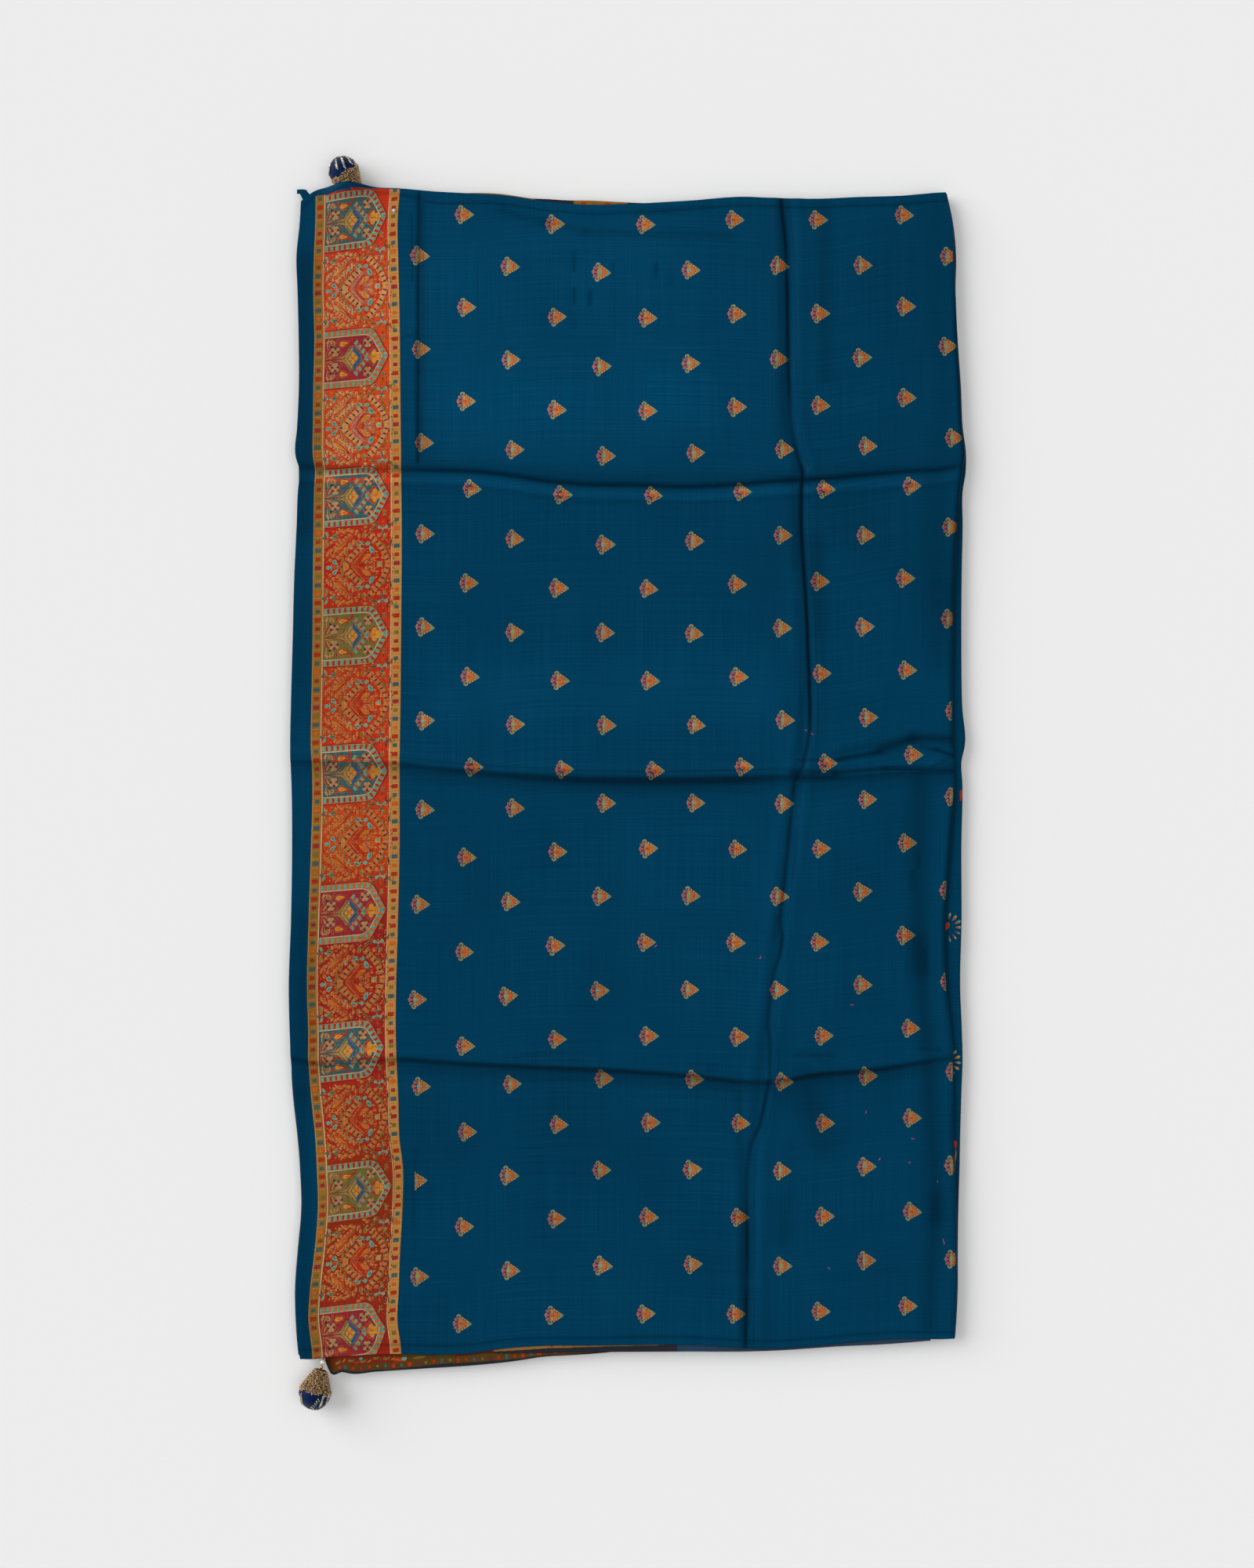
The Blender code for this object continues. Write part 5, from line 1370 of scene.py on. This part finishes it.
def makeFoldRosettes():
    # Parts of round motifs of the lower layer, which show between the two folds
    petals = []
    for k in range(14):
        turn = 360.0 / 14 * k
        c, s = direction(turn)
        petals.append(("mint" if k % 2 else "sand", "drop", 8.5 * c, 8.5 * s, 8.0, 3.0, turn, 0, 0, 0))
        petals.append(("rust", "leaf", 8.8 * c, 8.8 * s, 6.0, 1.0, turn, 0, 0, 1))
    petals += table("red drop -4 -5 12 5.4 62 20 0 1; rust drop -1 -2 7 2.4 62 20 0 2")
    small = table("red drop -2 -5 12 3.4 84 30 0 0; rust leaf -1 -3 8 1.4 84 30 0 1")
    stem = table("mint leaf 0 -16 14 1.6 96 0 0 0; rust leaf 0.4 -2 16 1.5 92 0 0 0; "
                 "sand leaf 0.6 10 12 1.2 86 0 0 1; rust disc 0 8 2.4 1.6 80 0 0 1")
    store = {}
    for rows, places in ((petals, "310 -139 0 0.9; 309 -269 20 0.9"),
                         (small, "324.6 -12 0 1; 319 -351 8 0.9"),
                         (stem, "317.4 -376 0 1; 316.6 -396 3 0.8")):
        copyMotif(store, buildMotif(rows), table(places))
    limits = {"x": lambda x, y: (sideX("lowFold", y) - 20.0, sideX("lowFold", y) - 0.3),
              "y": lambda x, y: (crossY("bottom", x) + 2.0, crossY("top", x) - 2.0)}

    def onRoll(x, y):
        # level, then a quarter round down over the last 1.5 mm before the fold's rim
        over = np.clip(1.0 - (sideX("lowFold", y) - x) / 1.5, 0.0, 0.95)
        return layout["lowFoldTop"] - 0.05 - 1.5 * (1 - np.sqrt(1 - over ** 2))

    return layThreads("fold", store, limits, onRoll)


foldPieces = makeFoldRosettes()


def makeFlap():
    # The small corner: a patch between four edge curves, with its rim rolled
    s, t = np.meshgrid(np.linspace(0, 1, 13), np.linspace(0, 1, 16))
    leftX = softLine((0, 0.55, 0.8, 1), (-312.0, -315.1, -317.6, -320.4), t)
    rightX = softLine((0, 0.55, 0.8, 1), (-300.0, -302.0, -308.3, -311.2), t)
    y = 556.0 + 19.8 * t + 0.5 * np.sin(np.pi * s) * t
    z = layout["stackTop"] - 0.2 + 0.5 * t * (1 - s)
    grids = hemmed((leftX + (rightX - leftX) * s, y, z), ("top", "left", "right"), turn=3.0)
    return clothSheet("cornerFlap", grids, tealSilk, "corner_flap")


cornerFlap = makeFlap()

print("hidden layers")
stackTopEdge = table("""
    -330 554; -322 558; -302 572; -288 576; -284 564; -266 563; -248 564; -244 576.5; -221 576; -185 573;
    -150 572; -107 568.5; -75 566; -38 564; 0 563; 60 564.5; 115 568; 185 566.5; 265 569.5; 305 572.5;
    330 572.5
""")
stackBottomEdge = table("""
    -330 -556; -302 -556; -293 -558; -288 -566; -268 -570.7; -218 -567.5; -152 -563.5; -107 -559;
    -57 -553.8; 0 -550; 60 -549.5; 122 -549.4; 182 -546.4; 252 -542.4; 305 -538; 330 -536.5
""")
# Each hidden layer: its lower and upper height, then how far in it lies at each side and
# from the top fold
hiddenLayers = table("""
    0 1.2 2.2 3.2 2.8 3.6 -40; 1.2 2.4 1.2 2.4 1.8 2.6 -40; 2.4 3.5 0.6 1.5 1.3 2.1 -40;
    3.5 4.7 1 2 2 3 -40; 4.7 5.8 2 3.4 2.6 2.9 -40; 5.8 6.8 1.4 2.8 1.8 2.4 -40;
    6.8 7.9 0.8 24.2 1.2 1.9 -40; 7.9 9 1.2 24.2 2.2 2.6 -40; 9 10.4 2.8 24.2 1.7 63.2 16.2;
    10.4 12 1.8 24.2 63.2 63.2 16.2
""")
stackSettings = {"tuck": 0.9, "sideSteps": 150, "endSteps": 100, "slip": 1.8, "slipBelow": -250.0}


def polyLine(points, x):
    return np.interp(x, *zip(*points))


def stackRing(z, waver, left, right, top, bottom, topFold):
    # One ring round the hidden layers at height z: a square's rim of shares, each point
    # settled between the left and right, and the lower and upper outline, less the insets
    s = stackSettings
    side = np.arange(s["sideSteps"]) / s["sideSteps"]
    end = np.arange(s["endSteps"]) / s["endSteps"]
    shareX = np.concatenate([end, np.ones_like(side), 1 - end, np.zeros_like(side)])
    shareY = np.concatenate([np.zeros_like(end), side, np.ones_like(end), 1 - side])
    x, y = (shareX - 0.5) * 640.0, (shareY - 0.5) * 1120.0
    for turn in range(8):
        low = sideX("left", y) + left + waver - s["slip"] * ease((s["slipBelow"] - y) / 40.0)
        high = np.minimum(sideX("lowFold", y) - right - waver, sideX("topFold", y) - topFold)
        x = low + (high - low) * shareX
        low = polyLine(stackBottomEdge, x) + bottom + waver
        y = low + (polyLine(stackTopEdge, x) - top - waver - low) * shareY
    return np.stack([x, y, np.full_like(x, z)], axis=1)


def makeStack():
    # A lobe for each layer: its edge is a half round, and it wanders in and out a little
    s = stackSettings
    rings, tints = [], []
    count = 2 * (s["sideSteps"] + s["endSteps"])
    at = np.arange(count) / count * 2 * np.pi
    for k, (low, high, *insets) in enumerate(hiddenLayers):
        waver = 0.45 * np.sin(7 * at + 1.9 * k) + 0.3 * np.sin(19 * at + 2.7 * k) + 0.45
        waver = waver * (0.0 if k >= 8 else 1.0)
        for share in (0.02, 0.25, 0.5, 0.75, 0.98):
            tuck = s["tuck"] * (1 - math.sqrt(max(0.0, 1 - (2 * share - 1) ** 2)))
            rings.append(stackRing(low + (high - low) * share, waver, *(inset + tuck for inset in insets)))
            # painted shade: each lobe's silk darkens towards the crevices above and below its round edge, and
            # is a little darker over all
            tints.append(np.tile(silkTint * (0.35 + 0.65 * math.sin(math.pi * share)) * 0.9, (count, 1)))
    rows = len(rings)
    quads, index, turned = closedRows(rows, count)
    middle = np.full(count, rows * count)
    faces = np.concatenate([halves(quads), np.stack([turned[0], index[0], middle], axis=1),
                            np.stack([index[-1], turned[-1], middle + 1], axis=1)])
    points = np.concatenate(rings + [[[0.0, 0.0, rings[0][0, 2]], [0.0, 0.0, rings[-1][0, 2]]]])
    around = np.append(np.tile(at * 570.0, rows), [0.0, 0.0])
    colour = np.concatenate(tints + [[silkTint, silkTint]])
    piece = quadMesh("hiddenLayers", points, faces, around, points[:, 2] * 8.0, colour)
    return finishPiece(piece, brocadeGround, ["folded_layers"])


makeStack()

print("tassels")
tasselSettings = {
    "capShare": 0.965, "capStart": 2.0, "capNeck": 5.3, "capLength": 23.8, "seedSize": 0.88,
    "seedPitch": 1.66, "pearl": 2.65, "goldBead": 1.85, "loop": 0.6, "loopTail": 12.0, "gap": 0.3,
    "lobes": 5, "lobeDepth": 1.3,
}
tasselTable = {
    "Top": {"centre": (-274.9, 593.2, 14.5), "ball": 14.5, "aim": (0.535, -0.845), "dip": 12.0,
            "leaves": table("-6.5 9.3 -5 0.2 6 38; -0.9 10.3 2.6 0.7 6 30; 4.7 11.3 8.2 5.7 4 34; "
                            "11.3 6.3 13.9 1.2 4 30; -12.4 5.2 -13.4 -3.9 6 -30; -6 12.1 2.6 13 5 60")},
    "Bottom": {"centre": (-302.8, -590.0, 15.4), "ball": 15.4, "aim": (0.245, 0.970), "dip": 7.5,
               "leaves": table("-14.2 1.5 -11.8 -8.9 6 24; -11.8 0.6 -10.6 -8.4 5 -26; "
                               "5.2 -3.6 -1.2 -11.6 5 58; 9.8 -0.4 6.4 -10 6 -40; "
                               "13.9 -0.6 11 -9.6 5 26; -5.5 -13.6 3.6 -14.4 5 66")},
}
navyThread = clothMaterial("navyThread", dict(silkSettings, threads=1100.0, bump=1.0, bumpDepth=0.0003,
                                              specular=0.3, glossTint=(70, 104, 160), rough=(0.35, 0.5)),
                           (2, 12, 40), (8, 32, 76))


def beadMaterial(name, dark, light, rough, metallic, coat):
    # Small glass or metal beads: each patch of the surface takes its own depth of colour
    mat, tree, shader = newMaterial(name)
    coords = addNode(tree, "TexCoord", {}).outputs["Object"]
    spots = addNode(tree, "TexNoise", {"Vector": coords, "Scale": 620.0, "Detail": 2.0}).outputs["Fac"]
    share = rangeNode(tree, spots, 0.0, 1.0, 0.38, 0.62)
    fillSockets(tree, shader, {
        "Base Color": mixNode(tree, share, linear(dark), linear(light)),
        "Roughness": rangeNode(tree, spots, *rough),
        "Metallic": metallic, "Coat Weight": coat, "Coat Roughness": 0.08,
    })
    return mat


seedBead = beadMaterial("seedBead", (70, 44, 22), (222, 184, 128), (0.2, 0.4), 0.3, 0.5)
bugleBead = beadMaterial("bugleBead", (118, 112, 88), (220, 216, 192), (0.16, 0.3), 0.5, 0.6)
capGround = clothMaterial("capGround", dict(threadSettings, threads=1200.0), (26, 18, 10), (58, 42, 22))
pearlShell = beadMaterial("pearlShell", (168, 170, 164), (226, 224, 212), (0.10, 0.2), 0.0, 0.9)
goldMetal = beadMaterial("goldMetal", (176, 116, 52), (232, 178, 98), (0.14, 0.26), 0.85, 0.0)


def axisFrame(aim):
    aim = np.array(aim, float) / np.linalg.norm(aim)
    side = np.cross(aim, (0.0, 0.0, 1.0))
    side = side / np.linalg.norm(side)
    return aim, side, np.cross(side, aim)


def ballProfile(radius, steps, squash=1.0):
    # Half a circle, as (distance along the axis, radius) pairs
    return [(-radius * squash * math.cos(a), radius * math.sin(a)) for a in np.linspace(0, np.pi, steps + 1)]


def turnedGrid(profile, origin, aim, sides):
    # A surface of revolution: (distance along the aim, radius) pairs turned round it
    aim, side, up = axisFrame(aim)
    a = np.linspace(0, 2 * np.pi, sides + 1)
    along, radius = np.array(profile, float).T
    spokes = np.cos(a)[:, None] * side + np.sin(a)[:, None] * up
    grid = np.array(origin) + along[:, None, None] * aim + radius[:, None, None] * spokes[None]
    run = np.concatenate([[0], np.cumsum(np.hypot(np.diff(along), np.diff(radius)))])
    u = np.repeat((a * max(radius.max(), 0.1))[None], len(along), axis=0)
    v = np.repeat(run[:, None], sides + 1, axis=1)
    return grid, u, v


def closedTurn(name, profile, origin, aim, sides, wobble=None):
    # The turned grid as one closed mesh: its seam columns share points, ends are fans
    grid, u, v = turnedGrid(profile, origin, aim, sides)
    if wobble is not None:
        grid = wobble(grid, u, v)
    points = grid[:, :-1].reshape(-1, 3)
    faces = halves(closedRows(len(grid), sides)[0][:, [0, 3, 2, 1]])
    a, b, c = (points[corner] for corner in faces.T)
    faces = faces[np.linalg.norm(np.cross(b - a, c - a), axis=1) > 1e-9]
    return quadMesh(name, points, faces, u[:, :-1].ravel(), v[:, :-1].ravel())


def scatterBeads(name, centres, axes, profile, sides, seed):
    # Copies of one small turned bead, each with its own axis, joined into one mesh
    count = len(centres)
    axes = axes / np.linalg.norm(axes, axis=1, keepdims=True)
    helper = np.where(np.abs(axes[:, 2:3]) < 0.9, [[0.0, 0.0, 1.0]], [[1.0, 0.0, 0.0]])
    side = np.cross(axes, helper)
    side = side / np.linalg.norm(side, axis=1, keepdims=True)
    along, radius = np.array(profile, float).T
    a = 2 * np.pi * np.arange(sides) / sides
    inner = np.stack([np.repeat(along[1:-1], sides), np.outer(radius[1:-1], np.cos(a)).ravel(),
                      np.outer(radius[1:-1], np.sin(a)).ravel()], axis=1)
    local = np.concatenate([[[along[0], 0.0, 0.0]], inner, [[along[-1], 0.0, 0.0]]])
    frames = (axes, side, np.cross(axes, side))
    d, p, q = (part[None, :, None] * axis[:, None] for part, axis in zip(local.T, frames))
    grow = np.random.default_rng(seed).normal(1.0, 0.07, (count, 1, 1))
    flat = (centres[:, None] + grow * (d + p + q)).reshape(-1, 3)
    rings = len(along) - 2
    k = np.arange(sides)
    m = (k + 1) % sides
    faces = [np.stack([np.zeros(sides, int), 1 + m, 1 + k], axis=1),
             np.stack([np.full(sides, len(local) - 1), 1 + (rings - 1) * sides + k,
                       1 + (rings - 1) * sides + m], axis=1)]
    for start in 1 + np.arange(rings - 1) * sides:
        faces.append(np.stack([start + k, start + m, start + sides + m], axis=1))
        faces.append(np.stack([start + k, start + sides + m, start + sides + k], axis=1))
    faces = np.concatenate(faces)[:, ::-1]
    many = faces[None] + (np.arange(count) * len(local))[:, None, None]
    return quadMesh(name, flat, many.reshape(-1, 3), flat[:, 0], flat[:, 1] + flat[:, 2])


seedProfile = ((-0.52, 0.0), (-0.46, 0.52), (0.0, 0.88), (0.46, 0.52), (0.52, 0.0))
bugleProfile = ((-1.9, 0.0), (-1.8, 0.40), (-1.2, 0.56), (1.2, 0.56), (1.8, 0.40), (1.9, 0.0))


def capRadius(share, bell, ball=0.0):
    # The bell narrows towards its neck, and it never sinks below the ball's own round
    s = tasselSettings
    at = s["capStart"] + (s["capLength"] - s["capStart"]) * share
    under = np.sqrt(np.maximum(ball ** 2 - at ** 2, 0.0))
    return np.maximum(bell + (s["capNeck"] - bell) * np.clip(share, 0.0, 1.0) ** 1.25, under)


def seedPlaces(t, centre, aim):
    # Rings of seed beads up the cap, and lobes of them that dip below its rim on the ball
    s = tasselSettings
    aim, side, up = axisFrame(aim)
    bell = t["ball"] * s["capShare"]
    jitter = np.random.default_rng(11)
    centres, normals = [], []
    rise = s["capLength"] - s["capStart"]
    at = -s["lobeDepth"] * 1.6
    while at < s["capLength"] - 0.6:
        below = at < s["capStart"]
        radius = float(capRadius((at - s["capStart"]) / rise, bell, t["ball"])) + 0.35
        if below:
            radius = math.sqrt(t["ball"] ** 2 - at ** 2) * 0.99
        count = max(6, int(2 * math.pi * radius / s["seedPitch"]))
        a = (np.arange(count) + jitter.uniform(0, 1)) / count * 2 * np.pi + jitter.normal(0, 0.012, count)
        if below:
            reach = s["capStart"] - s["lobeDepth"] * 2.0 * np.abs(np.sin(a * s["lobes"] / 2 + 0.5)) ** 0.8
            a = a[reach <= at]
        spoke = np.cos(a)[:, None] * side + np.sin(a)[:, None] * up
        lean = 0.05 if below else 0.45
        centres.append(centre + (at + jitter.normal(0, 0.12, len(a)))[:, None] * aim + spoke * (radius - 0.1))
        normals.append(spoke + aim * lean)
        at += s["seedPitch"] * (0.80 if not below else 0.9)
    centres, normals = np.concatenate(centres), np.concatenate(normals)
    centres[:, 2] = np.maximum(centres[:, 2], s["seedSize"] + 0.05)
    swing = jitter.normal(0, 1.0, centres.shape)
    lengthwise = (swing * normals).sum(axis=1, keepdims=True) * normals
    axes = swing - lengthwise / (normals ** 2).sum(axis=1, keepdims=True)
    return centres, axes


def buglePlaces(t, centre, aim):
    # Leaf rows of bugle beads: each row runs between two points of the ball, its beads lie
    # side by side across the run, leaning by the slant. The far side has the same rows.
    aim = axisFrame(aim)[0]
    centres, axes = [], []
    for x0, y0, x1, y1, beads, slant in t["leaves"]:
        share = np.linspace(0, 1, int(beads))[:, None]
        flat = np.array([[x0, y0]]) * (1 - share) + np.array([[x1, y1]]) * share
        reach = np.minimum(np.linalg.norm(flat, axis=1), t["ball"] * 0.985)
        flat = flat * (reach / np.linalg.norm(flat, axis=1))[:, None]
        height = np.sqrt(t["ball"] ** 2 - reach ** 2)
        normal = np.column_stack([flat, height]) / t["ball"]
        run = np.gradient(normal, axis=0)
        run = run - (run * normal).sum(axis=1, keepdims=True) * normal
        run = run / np.linalg.norm(run, axis=1, keepdims=True)
        across = np.cross(normal, run)
        lean = math.radians(slant)
        lie = run * math.cos(lean) + across * math.sin(lean)
        for turn in (1, -1):
            n, l = normal, lie
            if turn < 0:
                n = 2 * (n @ aim)[:, None] * aim - n
                l = 2 * (l @ aim)[:, None] * aim - l
            centres.append(centre + n * (t["ball"] + 0.28))
            axes.append(l)
    centres, axes = np.concatenate(centres), np.concatenate(axes)
    keep = centres[:, 2] > 1.0
    return centres[keep], axes[keep]


def makeTassel(name):
    t, s = tasselTable[name], tasselSettings
    low = name.lower()
    tilt = math.radians(t["dip"])
    aim = (t["aim"][0] * math.cos(tilt), t["aim"][1] * math.cos(tilt), -math.sin(tilt))
    aim = np.array(aim) / np.linalg.norm(aim)
    centre, radius = np.array(t["centre"]), t["ball"]

    def wind(grid, u, v):
        # threads wound round the ball stand up in low ribs, and the rind is never quite round
        turns = u / radius
        ribs = 0.07 * np.abs(np.sin(22 * turns + 1.2 * np.sin(v / 9.0)))
        dents = 0.18 * np.sin(3 * turns + v / 7.0) * np.sin(v / 11.0)
        grown = centre + (grid - centre) * (1 - (0.15 - ribs - 0.5 * dents)[..., None] / radius)
        grown[..., 2] = np.maximum(grown[..., 2], 0.02)
        return grown

    def press(grid, u, v):
        grid[..., 2] = np.maximum(grid[..., 2], 0.05)
        return grid

    ball = closedTurn("woundBall" + name, ballProfile(radius, 48), centre, aim, 96, wind)
    finishPiece(ball, navyThread, ["tassel_ball_" + low])
    start, bell = s["capStart"], radius * s["capShare"]
    capProfile = [(start + 0.5, 0.0), (start + 0.2, bell - 2.2), (start, bell - 0.9)]
    capProfile += [(start + (s["capLength"] - start) * k, float(capRadius(k, bell, radius)) + 0.1 - 0.5 * k)
                   for k in np.linspace(0, 1, 16)]
    capProfile += [(s["capLength"], 2.0), (s["capLength"], 0.0)]
    cap = closedTurn("capCloth" + name, capProfile, centre, aim, 64, press)
    finishPiece(cap, capGround, ["tassel_cap_" + low])
    seeds = scatterBeads("seedBeads" + name, *seedPlaces(t, centre, aim), seedProfile, 6, 21)
    finishPiece(seeds, seedBead, [])
    bugles = scatterBeads("bugleLeaves" + name, *buglePlaces(t, centre, aim), bugleProfile, 7, 22)
    finishPiece(bugles, bugleBead, [])
    return centre + aim * s["capLength"], aim


def makeBeadsAndLoop(neck, aim):
    s = tasselSettings
    gold = neck + aim * (s["gap"] + s["goldBead"])
    pearl = gold + aim * (s["goldBead"] + s["gap"] + s["pearl"])
    for name, middle, radius, material, node, slotName in (
            ("goldBeadLow", gold, s["goldBead"], goldMetal, "gold_bead_bottom", "gold_bead"),
            ("pearlLow", pearl, s["pearl"], pearlShell, "pearl_bottom", "pearl")):
        bead = closedTurn(name, ballProfile(radius, 24, 0.97), middle, aim, 36)
        finishPiece(bead, material, [node])
    start = pearl + aim * (s["pearl"] + s["gap"])
    inside = np.array((start[0] + 1.5, start[1] + s["loopTail"],
                       layout["lowTop"] + s["gap"] + s["loop"] + 0.1))
    reach = inside - start
    length = float(np.linalg.norm(reach))

    def ply(grid, u, v):
        # two strands twisted: the radius swells and sinks round the cord as it runs
        middle = start + (v / max(v.max(), 1e-6))[..., None] * reach
        swell = 1 + 0.22 * np.cos(2 * (u / s["loop"]) + v * 2.4) - 0.22
        return middle + (grid - middle) * swell[..., None]

    profile = [(0.0, 0.0)] + [(length * k / 40, s["loop"]) for k in range(41)] + [(length, 0.0)]
    cord = closedTurn("tasselCord", profile, start, reach, 12, ply)
    return finishPiece(cord, navyThread, ["tassel_loop_bottom"])


for tasselName in tasselTable:
    neckEnd, neckAim = makeTassel(tasselName)
makeBeadsAndLoop(neckEnd, neckAim)

print("loose threads and the pearl on the band")
# Bits of pink thread that lie on the cloth: x, y, length, turn, bend
looseBits = table("""
    307 -446 6 98 20; 272 -367 3 10 60; 275 -343 3.6 -30 80; 29 -156 4 200 90; 128 -169 3 40 60;
    219 -214 3.4 150 120; 231 -319 2.8 80 40; 243 -364 3.2 20 90; 172 52.4 2.4 -20 40; 178 49.4 2.8 -50 30;
    300 -386 2.4 60 60; 196 -470 3 110 70
""")


def makeLooseBits():
    rows = [("looseThread", "curl", x, y, length, 0.75, turn, bend, 0, 0)
            for x, y, length, turn, bend in looseBits]
    store = {}
    copyMotif(store, buildMotif(rows), [(0, 0, 0, 1)])
    threadMaterials["looseThread"] = clothMaterial("looseThread", threadSettings,
                                                   (150, 36, 84), (204, 74, 128))
    return layThreads("bit", store, groundLimits, topHeight, shadeAt)


def makeBandPearl():
    x, y, radius = -226.0, 555.1, 1.75
    z = float(topHeight(x, y)) + radius * 0.82
    pearl = closedTurn("bandPearl", ballProfile(radius, 16), (x, y, z), (0.0, 1.0, 0.05), 24)
    return finishPiece(pearl, pearlShell, [])


looseThreads = makeLooseBits()
bandPearl = makeBandPearl()

print("stage")
stageSettings = {
    "floor": 6.0,
    "floorColour": (0.80, 0.80, 0.80),
    "cameraHeight": 3.0,
    "photoCentre": (-0.38, 0.0),
    "frameHeight": 1.5186,
    "ambient": 0.423,
    # each light: its share on a level floor, elevation, azimuth and width in the sky
    "lights": {"windowLight": (1.20, 27.0, 155.0, 54.0), "ceilingLight": (0.78, 74.0, -30.0, 50.0)},
}


def makeStage():
    s = stageSettings
    bpy.ops.mesh.primitive_plane_add(size=s["floor"], location=(0, 0, 0))
    floor = bpy.context.object
    floor.name = "floor"
    mat = bpy.data.materials.new("paleFloor")
    mat.use_nodes = True
    shader = mat.node_tree.nodes["Principled BSDF"]
    shader.inputs["Base Color"].default_value = (*s["floorColour"], 1.0)
    shader.inputs["Roughness"].default_value = 0.9
    shader.inputs["Specular IOR Level"].default_value = 0.0
    floor.data.materials.append(mat)
    world = bpy.data.worlds.new("softStudio")
    scene.world = world
    world.use_nodes = True
    world.node_tree.nodes["Background"].inputs["Color"].default_value = (1, 1, 1, 1)
    world.node_tree.nodes["Background"].inputs["Strength"].default_value = s["ambient"]
    for name, (share, elevation, azimuth, soft) in s["lights"].items():
        light = bpy.data.lights.new(name, "SUN")
        light.energy = share / math.sin(math.radians(elevation))
        light.angle = math.radians(soft)
        lamp = bpy.data.objects.new(name, light)
        scene.collection.objects.link(lamp)
        lamp.rotation_euler = (math.radians(90 - elevation), 0, math.radians(azimuth + 90))
    camera = bpy.data.cameras.new("camera")
    camera.sensor_fit = "VERTICAL"
    camera.sensor_height = 24.0
    distance = s["cameraHeight"] - layout["topFace"] * 0.001
    camera.lens = 24.0 * distance / s["frameHeight"]
    eye = bpy.data.objects.new("camera", camera)
    scene.collection.objects.link(eye)
    across, up, unused = place((*s["photoCentre"], 0.0))
    eye.location = (across, up, s["cameraHeight"])
    scene.camera = eye
    scene.view_settings.view_transform = "Standard"


makeStage()
